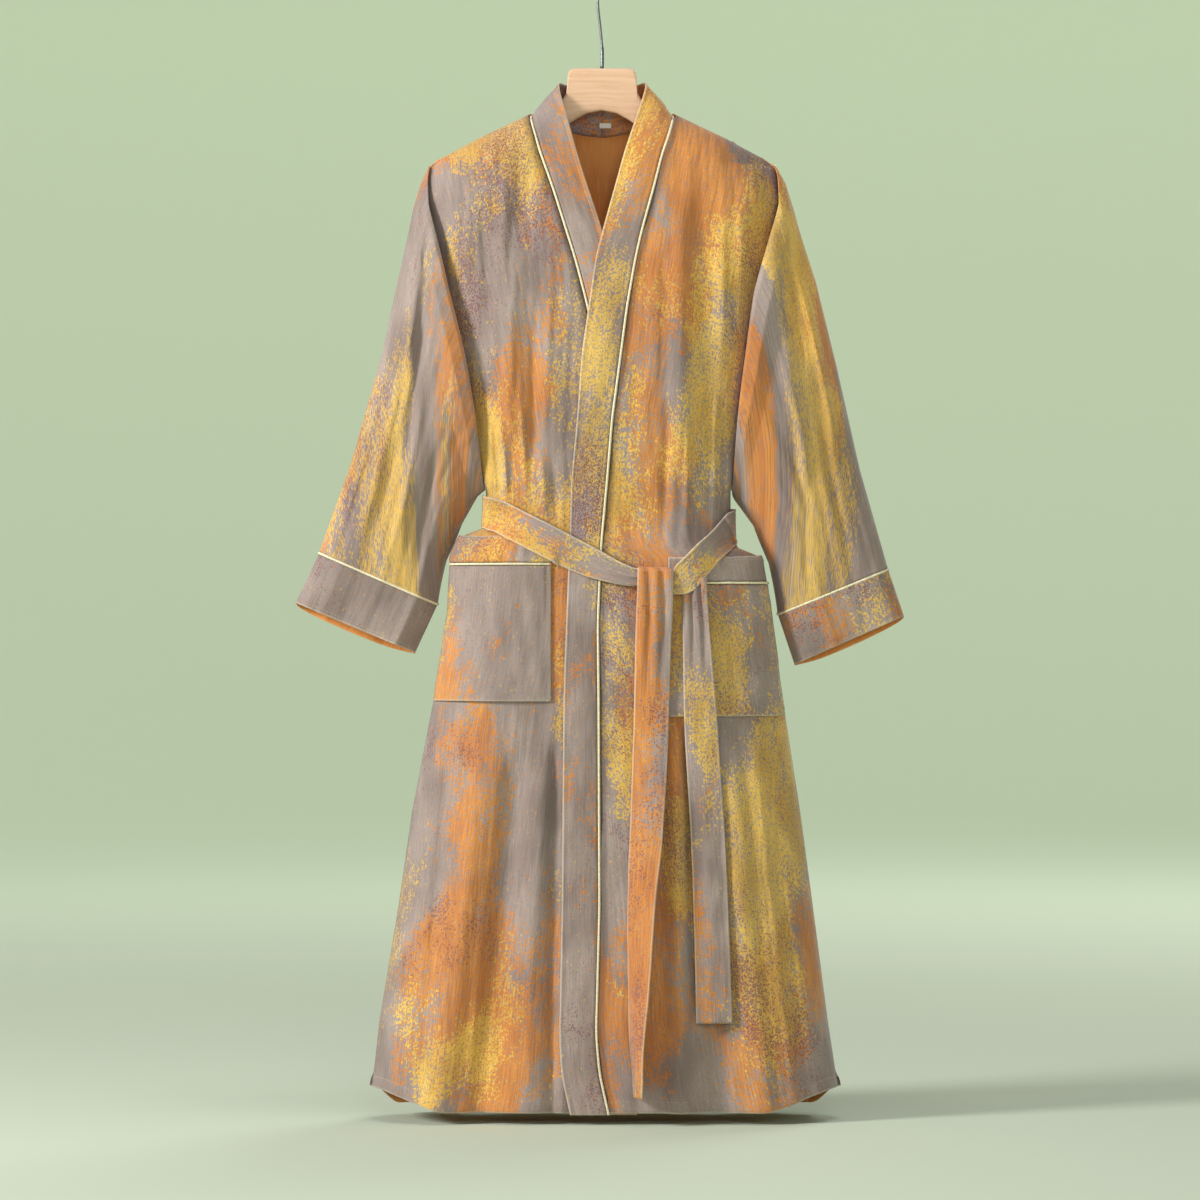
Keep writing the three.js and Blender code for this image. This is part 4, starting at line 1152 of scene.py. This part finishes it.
def flecks(tree, vector, bend, size, stretch, density, seed):
    """Small leaf-like marks, more of them where the density is higher."""
    cells = scaled(tree, vector, (stretch / size, 1 / size, 1), (seed, seed * 0.7, seed * 0.3))
    warped = make(tree, "ShaderNodeVectorMath", {"operation": "ADD"}, {0: cells, 1: bend})
    settings = {"voronoi_dimensions": "2D", "feature": "F1"}
    inputs = {"Vector": warped, "Scale": 1.0, "Randomness": 0.9}
    distance = make(tree, "ShaderNodeTexVoronoi", settings, inputs)
    colour = Value(tree, distance.socket.node.outputs["Color"])
    chance = make(tree, "ShaderNodeSeparateColor", {}, {0: colour})
    body = distance.step(0.52, 0.40)
    return body * (density - chance).step(-0.04, 0.04)


def weave(tree, grain):
    """Threads both ways, a little uneven, and thicker slubs down the cloth."""
    parts = make(tree, "ShaderNodeSeparateXYZ", {}, {0: grain})
    across = parts
    down = Value(tree, parts.socket.node.outputs[1])
    drift = noise(tree, grain, 160.0, detail=1.0, flat=True)
    warp = (across * (2 * math.pi / 0.0011) + drift * 3.0).math("SINE")
    weft = (down * (2 * math.pi / 0.0012) + drift * 3.0).math("SINE")
    slub = noise(tree, scaled(tree, grain, (900, 38, 1)), 1.0, detail=1.0, flat=True)
    return warp * 0.12 + weft * 0.10 + slub * 0.9


def crinkle(tree, grain):
    """Soft ridges down the gauze, in drifting groups."""
    fine = noise(tree, scaled(tree, grain, (150, 9, 1)), 1.0, detail=2.0, roughness=0.45, flat=True)
    broad = noise(tree, scaled(tree, grain, (52, 16, 1), (3, 5, 0)), 1.0, detail=2.0, distortion=0.4, flat=True)
    where = noise(tree, grain, 5.0, detail=0.0, flat=True).step(0.35, 0.62)
    return fine * (where * 0.75 + 0.12) + broad * 0.8


def robe_colour(settings):
    """A generic mottled pattern: drifting patches, leaf flecks and speckle on a streaked ground, with painted
    shade by the side seams and a painted highlight along pressed edges.
    """
    def build(tree):
        grain = grain_of(tree)
        warp_shift = noise(tree, grain, 9.0, detail=2.0, colour=True)
        wander = make(tree, "ShaderNodeVectorMath", {"operation": "SCALE"}, {0: warp_shift, 3: 0.05})
        place = make(tree, "ShaderNodeVectorMath", {"operation": "ADD"}, {0: grain, 1: wander})
        rough = {"detail": 4.0, "roughness": 0.58}
        gold_area = noise(tree, scaled(tree, place, (5.4, 2.7, 1), (3.1, 7.7, 0)), 1.0, **rough)
        orange_area = noise(tree, scaled(tree, place, (5.0, 2.5, 1), (11.3, 2.9, 0)), 1.0, **rough)
        plum_area = noise(tree, scaled(tree, place, (6.5, 4.0, 1), (6.9, 13.1, 0)), 1.0, **rough)
        ragged = noise(tree, grain, 70.0, detail=3.0, roughness=0.7) - 0.5
        gold_area = gold_area + ragged * 0.10
        orange_area = orange_area + ragged * 0.10
        gold_share = gold_area.step(0.505, 0.63)
        orange_share = orange_area.step(0.485, 0.60)
        plum_share = (plum_area + ragged * 0.16).step(0.53, 0.70)
        streak = noise(tree, scaled(tree, grain, (620, 26, 1)), 1.0, detail=2.0)
        tone = noise(tree, scaled(tree, grain, (14, 9, 1), (1, 4, 0)), 1.0, detail=2.0)
        ground = blend(tree, tone.step(0.3, 0.7), linear(settings.taupe_dark), linear(settings.taupe))
        gold = blend(tree, tone.step(0.35, 0.65), linear(settings.gold_dark), linear(settings.gold))
        rusty = tone.step(0.62, 0.40) * 0.5 + streak.step(0.75, 0.25) * 0.35
        orange = blend(tree, rusty, linear(settings.orange), linear(settings.rust))
        bend = noise(tree, grain, 190.0, detail=1.0, colour=True)
        marks = flecks(tree, grain, bend, 0.0037, 1.4, gold_share, 3.0)
        small = flecks(tree, grain, bend, 0.0023, 1.2, gold_share * 1.1, 9.0)
        warm = flecks(tree, grain, bend, 0.0037, 1.3, orange_share * 1.15, 17.0)
        warm_small = flecks(tree, grain, bend, 0.0022, 1.1, orange_share * 1.1, 23.0)
        dark = flecks(tree, grain, bend, 0.0025, 1.2, plum_share * 0.85, 31.0)
        grey = flecks(tree, grain, bend, 0.0024, 1.1, 0.16, 41.0)
        solid = gold_area.step(0.60, 0.70) * 0.65
        warm_solid = orange_area.step(0.54, 0.64) * 0.8
        cover = (warm + warm_small * 0.85).math("MAXIMUM", warm_solid).math("MINIMUM", 1.0)
        colour = blend(tree, cover * 0.95, ground, orange)
        cover = (marks + small * 0.85).math("MAXIMUM", solid).math("MINIMUM", 1.0)
        colour = blend(tree, cover * 0.95, colour, gold)
        colour = blend(tree, dark * 0.6 + plum_share * 0.2, colour, linear(settings.plum))
        colour = blend(tree, grey * 0.45, colour, linear(0x77777F))
        shade = blend(tree, streak.step(0.25, 0.75), (0.87, 0.86, 0.85, 1), (1.08, 1.08, 1.08, 1))
        settings_multiply = {"data_type": "RGBA", "blend_type": "MULTIPLY"}
        colour = make(tree, "ShaderNodeMix", settings_multiply, {0: 1.0, 6: colour, 7: shade}, output=2)
        edges = edge_of(tree)
        # painted shade: dark brown blended in within 11 mm of the side edges of the back and fronts, by the
        # armholes, side seams and bands
        painted_seam_shade = Value(tree, edges.socket.node.outputs[1]).step(0.011, 0.0)
        colour = blend(tree, painted_seam_shade * 0.6, colour, linear(0x2E211C))
        # painted highlight: a light cream line within about 3 mm of each pressed edge, where light catches the
        # fold
        pressed = edges.step(0.0028, 0.0004)
        return blend(tree, pressed * 0.35, colour, linear(0xe2d6c4))
    return build


def robe_bump(tree):
    grain = grain_of(tree)
    return weave(tree, grain) * 0.12 + crinkle(tree, grain)


def reverse_colour(tree):
    grain = grain_of(tree)
    streak = noise(tree, scaled(tree, grain, (500, 40, 1)), 1.0, detail=2.0)
    patch = noise(tree, grain, 14.0, detail=2.0)
    base = blend(tree, patch.step(0.3, 0.7), linear(0xD9823E), linear(0xEC9C58))
    return blend(tree, streak.step(0.4, 0.7) * 0.4, base, linear(0xF2B070))


def trim_colour(tree):
    grain = grain_of(tree)
    soft = noise(tree, grain, 400.0, detail=2.0)
    return blend(tree, soft.step(0.3, 0.7), linear(0xd9caa4), linear(0xf3e9cc))


def trim_bump(tree):
    grain = grain_of(tree)
    parts = make(tree, "ShaderNodeSeparateXYZ", {}, {0: grain})
    down = Value(tree, parts.socket.node.outputs[1])
    return ((parts + down) * (2 * math.pi / 0.0022)).math("SINE")


def label_colour(tree):
    place = make(tree, "ShaderNodeTexCoord", {}, {}, output=3)
    thread = noise(tree, scaled(tree, place, (900, 900, 2200)), 1.0, detail=1.0)
    return blend(tree, thread.step(0.3, 0.7), linear(0xd9d5cc), linear(0xf2efe8))


def label_bump(tree):
    place = make(tree, "ShaderNodeTexCoord", {}, {}, output=3)
    return noise(tree, scaled(tree, place, (900, 900, 2200)), 1.0, detail=1.0)


def beech_colour(tree):
    place = make(tree, "ShaderNodeTexCoord", {}, {}, output=3)
    drift = noise(tree, place, 9.0, detail=2.0, colour=True)
    wander = make(tree, "ShaderNodeVectorMath", {"operation": "SCALE"}, {0: drift, 3: 0.02})
    bent = make(tree, "ShaderNodeVectorMath", {"operation": "ADD"}, {0: place, 1: wander})
    rings = noise(tree, scaled(tree, bent, (12, 200, 260)), 1.0, detail=3.0)
    pores = noise(tree, scaled(tree, bent, (260, 1500, 1500)), 1.0, detail=1.0).step(0.66, 0.72)
    wood = blend(tree, rings.step(0.2, 0.8), linear(0xCFA17F), linear(0xDDB596))
    return blend(tree, pores * 0.35, wood, linear(0xA8714C))


def beech_bump(tree):
    place = make(tree, "ShaderNodeTexCoord", {}, {}, output=3)
    return noise(tree, scaled(tree, place, (60, 900, 1100)), 1.0, detail=2.0)


def steel_roughness(tree):
    place = make(tree, "ShaderNodeTexCoord", {}, {}, output=3)
    return noise(tree, place, 420.0, detail=3.0).step(0.2, 0.9) * 0.25 + 0.24


def inset_line(place, edge, inset, samples=90):
    """Shares (across, down) of a line that runs a set distance in from one edge of a sheet."""
    fixed = np.linspace(0.004, 0.996, samples)
    moving = np.linspace(0, 0.5 if edge in "lr" else 0.12, 40)
    reach = moving if edge in "lt" else 1 - moving
    first, second = np.meshgrid(fixed, reach, indexing="ij")
    if edge in "lr":
        across, down = second.ravel(), first.ravel()
    else:
        across, down = first.ravel(), second.ravel()
    grid = place(across, down).reshape(samples, len(moving), 3)
    gone = np.cumsum(np.linalg.norm(np.diff(grid, axis=1), axis=2), axis=1)
    gone = np.pad(gone, ((0, 0), (1, 0)))
    found = np.array([np.interp(inset, gone[i], reach) for i in range(samples)])
    return (found, fixed) if edge in "lr" else (fixed, found)


STITCH_PITCH = 3.6


def stitch_places(place, across, down):
    """Points, directions and outward normals of the stitches along a line on a sheet."""
    points = place(across, down)
    lengths = np.concatenate([[0], np.cumsum(np.linalg.norm(np.diff(points, axis=0), axis=1))])
    count = max(int(lengths[-1] / STITCH_PITCH), 2)
    at = np.linspace(0, lengths[-1], count)
    across = np.interp(at, lengths, across)
    down = np.interp(at, lengths, down)
    points = place(across, down)
    ahead = np.gradient(points, axis=0)
    ahead /= np.maximum(np.linalg.norm(ahead, axis=1), 1e-9)[:, None]
    nudge = 0.002
    aside = place(np.clip(across + nudge, 0, 1), down) - place(np.clip(across - nudge, 0, 1), down)
    below = place(across, np.clip(down + nudge, 0, 1)) - place(across, np.clip(down - nudge, 0, 1))
    normal = np.cross(aside, below)
    normal /= np.maximum(np.linalg.norm(normal, axis=1), 1e-9)[:, None]
    return points, ahead, normal


def stitches(name, lines, length, radius, material):
    """Rows of sewn stitches. Each line is a sheet's place, its shares and which way is out."""
    builder = bmesh.new()
    for place, across, down, out in lines:
        points, ahead, normal = stitch_places(place, across, down)
        for point, forward, outward in zip(points, ahead, normal * out):
            forward = Vector(forward)
            outward = Vector(outward)
            sideways = forward.cross(outward).normalized()
            turn = Matrix((forward * length / 2, sideways * radius, outward * radius)).transposed()
            spot = Vector(point) + outward * (0.3 * radius)
            matrix = Matrix.Translation(spot * MM) @ (turn * MM).to_4x4()
            bmesh.ops.create_icosphere(builder, subdivisions=1, radius=1.0, matrix=matrix)
    bmesh.ops.recalc_face_normals(builder, faces=builder.faces)
    mesh = bpy.data.meshes.new(name)
    builder.to_mesh(mesh)
    builder.free()
    return dress(shown(bpy.data.objects.new(name, mesh)), (), "robe_cloth", material)


# The hanger's bar: its top and bottom edge across, from the middle to an end
HANGER = table(
    "x top bottom",
    (0, -148, -199),
    (18, -148, -202.5),
    (32, -148, -210),
    (37.5, -149.2, -213.8),
    (40.4, -152.5, -215),
    (41.4, -158, -215.6),
    (43, -178, -216.4),
    (47, -185, -218.4),
    (60, -193.6, -225),
    (87, -207.8, -236.6),
    (110, -218.6, -246),
    (150, -237.6, -263.5),
    (172, -249, -276),
    (186, -259, -283),
    (194, -268, -281.5),
    (197.4, -276.4, -277),
)
HANGER_HALF_DEPTH = 6


def hanger_place(across, down):
    x = mix(-1, 1, down)
    x = np.sign(x) * HANGER["x"][-1] * np.interp(
        np.abs(x), np.linspace(0, 1, len(HANGER["x"])), HANGER["x"] / HANGER["x"][-1]
    )
    top, bottom = look(HANGER, "top", np.abs(x)), look(HANGER, "bottom", np.abs(x))
    turn = 2 * np.pi * across
    square = 0.42
    y = -HANGER_HALF_DEPTH * np.sign(np.sin(turn)) * np.abs(np.sin(turn)) ** square
    up = np.sign(np.cos(turn)) * np.abs(np.cos(turn)) ** square
    taper = np.minimum((top - bottom) / 22, 1) ** 0.5
    return np.stack([x, y * taper, (top + bottom) / 2 + up * (top - bottom) / 2], -1)


def hook_points():
    """The hook's line from the bar to its open end, and the wire's radius along it."""
    line = [(0, 0, -150), (0, 0, -124), (-2, 0, -100), (-5, 0, -70), (-3, 0, -57)]
    centre = HOOK_WIRE - HOOK_ARC
    for angle in np.radians(np.arange(-70, 191, 10)):
        line.append((HOOK_ARC * math.cos(angle), 0, centre + HOOK_ARC * math.sin(angle)))
    points = curve_points(np.array(line, float), 160)
    lengths = np.concatenate([[0], np.cumsum(np.linalg.norm(np.diff(points, axis=0), axis=1))])
    radii = mix(HOOK_SHAFT, HOOK_WIRE, smooth(25, 29, lengths))
    end = lengths[-1] - lengths
    return points, radii * np.sqrt(np.clip(1 - (1 - np.minimum(end / HOOK_WIRE, 1)) ** 2, 0.02, 1))


class RobeSettings(bpy.types.PropertyGroup):
    """Sizes and colours of the robe."""

    cloth_wall: bpy.props.FloatProperty(
        name="Cloth thickness", description="Thickness of the gauze, in millimetres",
        default=1.3, min=0.3, max=3.0,
    )
    crease_depth: bpy.props.FloatProperty(
        name="Crease depth", description="How strongly the cloth creases, in proportion to its tables",
        default=1.5, min=0.0, max=2.0, subtype="FACTOR",
    )
    stitch_length: bpy.props.FloatProperty(
        name="Stitch length", description="Length of each stitch, in millimetres",
        default=2.6, min=1.0, max=6.0,
    )
    stitch_radius: bpy.props.FloatProperty(
        name="Stitch radius", description="Radius of the sewing thread, in millimetres",
        default=0.28, min=0.1, max=1.0,
    )
    taupe: bpy.props.IntProperty(
        name="Taupe", description="The ground, as an sRGB number", default=0xA3918B)
    taupe_dark: bpy.props.IntProperty(
        name="Dark taupe", description="The shaded ground, as an sRGB number", default=0x86746F)
    gold: bpy.props.IntProperty(
        name="Gold", description="The golden flecks, as an sRGB number", default=0xE2B757)
    gold_dark: bpy.props.IntProperty(
        name="Dark gold", description="The shaded golden flecks, as an sRGB number", default=0xC59A48)
    orange: bpy.props.IntProperty(
        name="Orange", description="The orange flecks, as an sRGB number", default=0xD4893A)
    rust: bpy.props.IntProperty(
        name="Rust", description="The rust flecks, as an sRGB number", default=0xBA6D32)
    plum: bpy.props.IntProperty(
        name="Plum", description="The plum speckle, as an sRGB number", default=0x7A4A50)


MATERIALS = {}


def fabric(name, colour, bump, strength, distance):
    settings = {"Sheen Weight": 0.22, "Sheen Roughness": 0.5, "Specular IOR Level": 0.25}
    return new_material(name, colour, 0.86, settings, bump, distance, strength)


def make_materials(settings):
    """Every finish of the robe, made once."""
    if MATERIALS:
        return
    MATERIALS["robe"] = fabric("robe_cloth", robe_colour(settings), robe_bump, 0.55, 0.0016)
    MATERIALS["reverse"] = fabric("robe_reverse", reverse_colour, robe_bump, 0.5, 0.0016)
    MATERIALS["trim"] = fabric("cream_piping", trim_colour, trim_bump, 0.5, 0.0003)
    MATERIALS["thread"] = fabric("sewing_thread", linear(0xCDB79A), None, 0, 0)
    MATERIALS["label"] = fabric("blank_label", label_colour, label_bump, 0.4, 0.0003)
    beech_settings = {"Coat Weight": 0.12, "Coat Roughness": 0.35}
    MATERIALS["beech"] = new_material(
        "beech_wood", beech_colour, 0.48, beech_settings, beech_bump, 0.0002, 0.35)
    MATERIALS["steel"] = new_material("dark_steel", linear(0x6A6C6E), steel_roughness, {"Metallic": 1.0})


class Build:
    """What the building operators share."""

    bl_options = {"REGISTER", "UNDO"}

    def execute(self, context):
        settings = context.scene.robe
        CREASES["depth"] = settings.crease_depth
        make_materials(settings)
        self.build(settings)
        return {"FINISHED"}


def fit_robe(piece, node, settings, doubled=False):
    dress(piece, (node,), "robe_cloth", MATERIALS["robe"], MATERIALS["reverse"])
    thicken(piece, settings.cloth_wall, reverse=not doubled)


class BuildBody(Build, bpy.types.Operator):
    """Builds the back and the two fronts"""

    bl_idname = "robe.body"
    bl_label = "Back and fronts"

    def build(self, settings):
        # shaded=True paints shade near the side edges of the back and the fronts
        back = cloth("back_cloth", back_place, 140, 300, flip=True, origin=(0, 0), pressed="b",
                     spread=lambda share: 0.5 + 0.5 * side_bias(2 * share - 1), shaded=True)
        fit_robe(back, "back", settings)
        for name, side in SIDES.items():
            front = cloth(f"front_{name}_cloth", front_place(side), 84, 300, flip=side > 0,
                          origin=(900 * side + 300, 0), pressed="b", spread=lambda share: share ** 1.4,
                          shaded=True)
            fit_robe(front, f"front_{name}", settings)


def side_bias(share):
    """Puts more columns near the two sides."""
    return np.sign(share) * (1 - (1 - np.abs(share)) ** 1.3)


class BuildBands(Build, bpy.types.Operator):
    """Builds the collar and front bands"""

    bl_idname = "robe.bands"
    bl_label = "Collar and front bands"

    def build(self, settings):
        for name, side in SIDES.items():
            band = cloth(f"band_{name}_cloth", band_place(side), 16, 420, flip=side > 0,
                         origin=(1740, 420), pressed="rb", grow=side)
            fit_robe(band, f"band_{name}", settings, doubled=True)


class BuildSleeves(Build, bpy.types.Operator):
    """Builds the sleeves and their cuffs"""

    bl_idname = "robe.sleeves"
    bl_label = "Sleeves and cuffs"

    def build(self, settings):
        for name, side in SIDES.items():
            sleeve = cloth(f"sleeve_{name}_cloth", sleeve_place(name, SLEEVE_START, SLEEVE_END), 150, 170,
                           flip=side < 0, origin=(2600 + 500 * side, 200), closed=True)
            fit_robe(sleeve, f"sleeve_{name}", settings)
            cuff = cloth(f"cuff_{name}_cloth", cuff_place(name), 150, 26, flip=side < 0,
                         origin=(2600 + 500 * side, -500), closed=True, pressed="b")
            fit_robe(cuff, f"cuff_{name}", settings)


class BuildPockets(Build, bpy.types.Operator):
    """Builds the patch pockets and their top bands"""

    bl_idname = "robe.pockets"
    bl_label = "Patch pockets"

    def build(self, settings):
        for name, pocket in POCKETS.items():
            bag_place = pocket_place(pocket, pocket["join"] - PIPING_ROOM, pocket["bottom"], 51)
            band_place_ = pocket_place(pocket, pocket["top"], pocket["join"] + PIPING_ROOM, 61)
            flip = pocket["side"] > 0
            bag = cloth(f"pocket_{name}_cloth", bag_place, 50, 60, flip=flip,
                        origin=(400 * pocket["side"] + 3900, 0), pressed="rb")
            band = cloth(f"pocket_band_{name}_cloth", band_place_, 50, 12, flip=flip,
                         origin=(400 * pocket["side"] + 3900, 300), pressed="rt")
            fit_robe(bag, f"pocket_{name}", settings)
            fit_robe(band, f"pocket_band_{name}", settings)


class BuildBelt(Build, bpy.types.Operator):
    """Builds the belt round the waist, its knot and its two hanging ends"""

    bl_idname = "robe.belt"
    bl_label = "Tied belt"

    def build(self, settings):
        strips = (
            ("belt_waist", belt_place(), 420, False, (0.04, 0.78), 4700),
            ("belt_tail_front", tail_place(TAIL_FRONT, True, 71), 260, True, (0.042, 0.70), 4800),
            ("belt_tail_behind", tail_place(TAIL_BEHIND, False, 73), 220, True, (0.042, 0.54), 4900),
        )
        for node, place, rows, flip, flat, start in strips:
            strip = cloth(f"{node}_cloth", place, 18, rows, flip=flip, origin=(start, 0), pressed="lr")
            dress(strip, (node,), "robe_cloth", MATERIALS["robe"])
            thicken(strip, settings.cloth_wall + 0.5, reverse=False)
            held = "folded" if node == "belt_waist" else "hung"


class BuildPiping(Build, bpy.types.Operator):
    """Builds the cream piping in the bands', cuffs' and pockets' seams"""

    bl_idname = "robe.piping"
    bl_label = "Cream piping"

    def build(self, settings):
        for name, side in SIDES.items():
            seam = band_lines(side)[0]
            self.add(f"band_piping_{name}", seam, False, 3 + side)
            ring = np.linspace(0, 1, 97)
            cuff = sleeve_place(name, 1, 1)(ring, np.zeros_like(ring))
            self.add(f"cuff_piping_{name}", cuff, True, 8 + side)
            pocket = POCKETS[name]
            share = np.linspace(0, 1, 40)
            line = pocket_place(pocket, pocket["join"], pocket["join"] - 1, 51)(share, np.zeros_like(share))
            self.add(f"pocket_piping_{name}", line, False, 12 + side)

    def add(self, node, points, closed, seed):
        cord = tube(f"{node}_cord", points, PIPING_RADIUS, sides=8, closed=closed, seed=seed)
        dress(cord, (node,), "piping", MATERIALS["trim"])


class BuildStitching(Build, bpy.types.Operator):
    """Builds the rows of stitches along hems, bands, cuffs and pockets"""

    bl_idname = "robe.stitching"
    bl_label = "Stitching"

    def build(self, settings):
        lines = {"hem": [(back_place, *inset_line(back_place, "b", 14), -1)]}
        for name, side in SIDES.items():
            front = front_place(side)
            lines["hem"].append((front, *inset_line(front, "b", 14), side))
            band = band_place(side)
            lines[f"band_{name}"] = [(band, *inset_line(band, "r", 5, 400), -side)]
            cuff = cuff_place(name)
            lines[f"cuff_{name}"] = [(cuff, *inset_line(cuff, "b", 5, 160), side)]
            pocket = POCKETS[name]
            bag = pocket_place(pocket, pocket["join"] - PIPING_ROOM, pocket["bottom"], 51)
            top = pocket_place(pocket, pocket["top"], pocket["join"] + PIPING_ROOM, 61)
            lines[f"pocket_{name}"] = [
                (bag, *inset_line(bag, "r", 4.5), side),
                (bag, *inset_line(bag, "b", 4.5), side),
                (top, *inset_line(top, "t", 4.5), side),
            ]
        for name, rows in lines.items():
            stitches(f"{name}_stitches", rows, settings.stitch_length, settings.stitch_radius,
                     MATERIALS["thread"])


class BuildLabel(Build, bpy.types.Operator):
    """Builds the small blank label at the back of the neck"""

    bl_idname = "robe.label"
    bl_label = "Blank neck label"

    def build(self, settings):
        low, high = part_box("neck_label")
        builder = bmesh.new()
        bmesh.ops.create_cube(builder, size=1)
        bmesh.ops.scale(builder, vec=high - low, verts=builder.verts)
        bmesh.ops.translate(builder, vec=(low + high) / 2, verts=builder.verts)
        upright = [edge for edge in builder.edges if abs(edge.verts[0].co.y - edge.verts[1].co.y) > 1e-5]
        bmesh.ops.bevel(builder, geom=upright, offset=0.6 * MM, affect="EDGES", segments=2,
                        profile=0.5, material=-1)
        mesh = bpy.data.meshes.new("neck_label_cloth")
        builder.to_mesh(mesh)
        builder.free()
        label = shown(bpy.data.objects.new("neck_label_cloth", mesh))
        dress(label, ("neck_label",), "label", MATERIALS["label"])


class BuildHanger(Build, bpy.types.Operator):
    """Builds the wooden bar and its steel hook"""

    bl_idname = "robe.hanger"
    bl_label = "Hanger"

    def build(self, settings):
        bar = cloth("hanger_wood", hanger_place, 40, 220, flip=False, origin=(0, 0), closed=True)
        builder = bmesh.new()
        builder.from_mesh(bar.data)
        open_edges = [edge for edge in builder.edges if edge.is_boundary]
        bmesh.ops.holes_fill(builder, edges=open_edges, sides=60)
        bmesh.ops.recalc_face_normals(builder, faces=builder.faces)
        builder.to_mesh(bar.data)
        builder.free()
        dress(bar, ("hanger_bar",), "beech", MATERIALS["beech"])
        points, radii = hook_points()
        hook = tube("hanger_wire", points, radii, sides=16)
        dress(hook, ("hanger_hook",), "hook_steel", MATERIALS["steel"])


class BuildStage(bpy.types.Operator):
    """Builds the floor, the lights and the camera"""

    bl_idname = "robe.stage"
    bl_label = "Stage"
    bl_options = {"REGISTER", "UNDO"}

    def execute(self, context):
        floor = bmesh.new()
        bmesh.ops.create_circle(floor, cap_ends=False, radius=0.02, segments=96)
        rim = floor.edges[:]
        bmesh.ops.contextual_create(floor, geom=rim)
        for run in np.linspace(0.3, FLOOR_END, 60):
            ring = bmesh.ops.extrude_edge_only(floor, edges=rim)["geom"]
            rim = [part for part in ring if isinstance(part, bmesh.types.BMEdge)]
            for vertex in [part for part in ring if isinstance(part, bmesh.types.BMVert)]:
                outward, height = sweep(run)
                vertex.co = Vector((*(vertex.co.xy.normalized() * outward), height))
        bmesh.ops.translate(floor, vec=(0, 0, (HEM_Z - 14) * MM), verts=floor.verts)
        bmesh.ops.recalc_face_normals(floor, faces=floor.faces)
        mesh = bpy.data.meshes.new("pale_floor")
        floor.to_mesh(mesh)
        floor.free()
        for polygon in mesh.polygons:
            polygon.use_smooth = True
        piece = shown(bpy.data.objects.new("pale_floor", mesh))
        mesh.materials.append(new_material("pale_paper", linear(0xC3CBB7), 0.9, {
            "Emission Color": paper_glow, "Emission Strength": 1.0}))
        mesh.materials[0].cycles.emission_sampling = "NONE"
        self.light("key", (-3.4, -1.9, 0.7), 1.1, 175)
        self.light("front", (0.4, -5.2, 0.2), 1.2, 46)
        self.light("top", (0.3, -0.8, 2.4), 1.4, 30)
        self.light("back", (2.6, 4.2, 2.8), 3.0, 110)
        world = bpy.data.worlds.new("studio_air")
        world.use_nodes = True
        world.node_tree.nodes["Background"].inputs["Color"].default_value = (0.95, 0.97, 1.0, 1)
        world.node_tree.nodes["Background"].inputs["Strength"].default_value = 0.16
        context.scene.view_settings.view_transform = "Standard"
        context.scene.world = world
        camera = bpy.data.cameras.new("camera")
        camera.lens = 160
        camera.sensor_width = 36
        holder = bpy.data.objects.new("camera", camera)
        holder.location = (-0.0024, -6.43, -0.7888)
        holder.rotation_euler = (math.pi / 2, 0, 0)
        context.scene.collection.objects.link(holder)
        context.scene.camera = holder
        return {"FINISHED"}

    def light(self, name, place, size, power):
        lamp = bpy.data.lights.new(name, "AREA")
        lamp.shape = "DISK"
        lamp.size = size
        lamp.energy = power
        holder = bpy.data.objects.new(name, lamp)
        holder.location = place
        aim = Vector((0, 0, -0.75)) - Vector(place)
        holder.rotation_euler = aim.to_track_quat("-Z", "Y").to_euler()
        holder.visible_camera = False
        bpy.context.scene.collection.objects.link(holder)


# The paper under and round the robe: flat, then turned up a long way out
SWEEP_START = 8.5
SWEEP_RADIUS = 2.4
FLOOR_END = 15.0


def sweep(run):
    """How far out and how high the paper is, by the length along it from the middle."""
    over = run - SWEEP_START
    quarter = SWEEP_RADIUS * math.pi / 2
    if over <= 0:
        return run, 0.0
    if over < quarter:
        angle = over / SWEEP_RADIUS
        return SWEEP_START + SWEEP_RADIUS * math.sin(angle), SWEEP_RADIUS * (1 - math.cos(angle))
    return SWEEP_START + SWEEP_RADIUS, SWEEP_RADIUS + over - quarter


def paper_glow(tree):
    """The far paper is lit on its own, evenly, as if by lamps set round it."""
    place = make(tree, "ShaderNodeTexCoord", {}, {}, output=3)
    level = scaled(tree, place, (1, 1, 0))
    away = make(tree, "ShaderNodeVectorMath", {"operation": "LENGTH"}, {0: level}, output=1)
    return blend(tree, away.step(0.6, 5.5), (0, 0, 0, 1), (0.27, 0.32, 0.225, 1))


class RobePanel(bpy.types.Panel):
    """Lists the robe's sizes and its building steps."""

    bl_idname = "VIEW3D_PT_robe"
    bl_label = "Kimono bathrobe"
    bl_space_type = "VIEW_3D"
    bl_region_type = "UI"
    bl_category = "Robe"

    def draw(self, context):
        layout = self.layout
        for name in RobeSettings.__annotations__:
            layout.prop(context.scene.robe, name)
        for step in STEPS:
            layout.operator(step.bl_idname)


STEPS = (BuildStage, BuildBody, BuildBands, BuildSleeves, BuildPockets, BuildBelt, BuildPiping,
         BuildStitching, BuildLabel, BuildHanger)
CLASSES = (RobeSettings, *STEPS, RobePanel)


def register():
    for each in CLASSES:
        bpy.utils.register_class(each)
    bpy.types.Scene.robe = bpy.props.PointerProperty(type=RobeSettings)


def unregister():
    del bpy.types.Scene.robe
    for each in reversed(CLASSES):
        bpy.utils.unregister_class(each)


def main():
    register()
    for step in STEPS:
        group, name = step.bl_idname.split(".")
        getattr(getattr(bpy.ops, group), name)()
    bpy.context.view_layer.update()


if __name__ == "__main__":
    main()
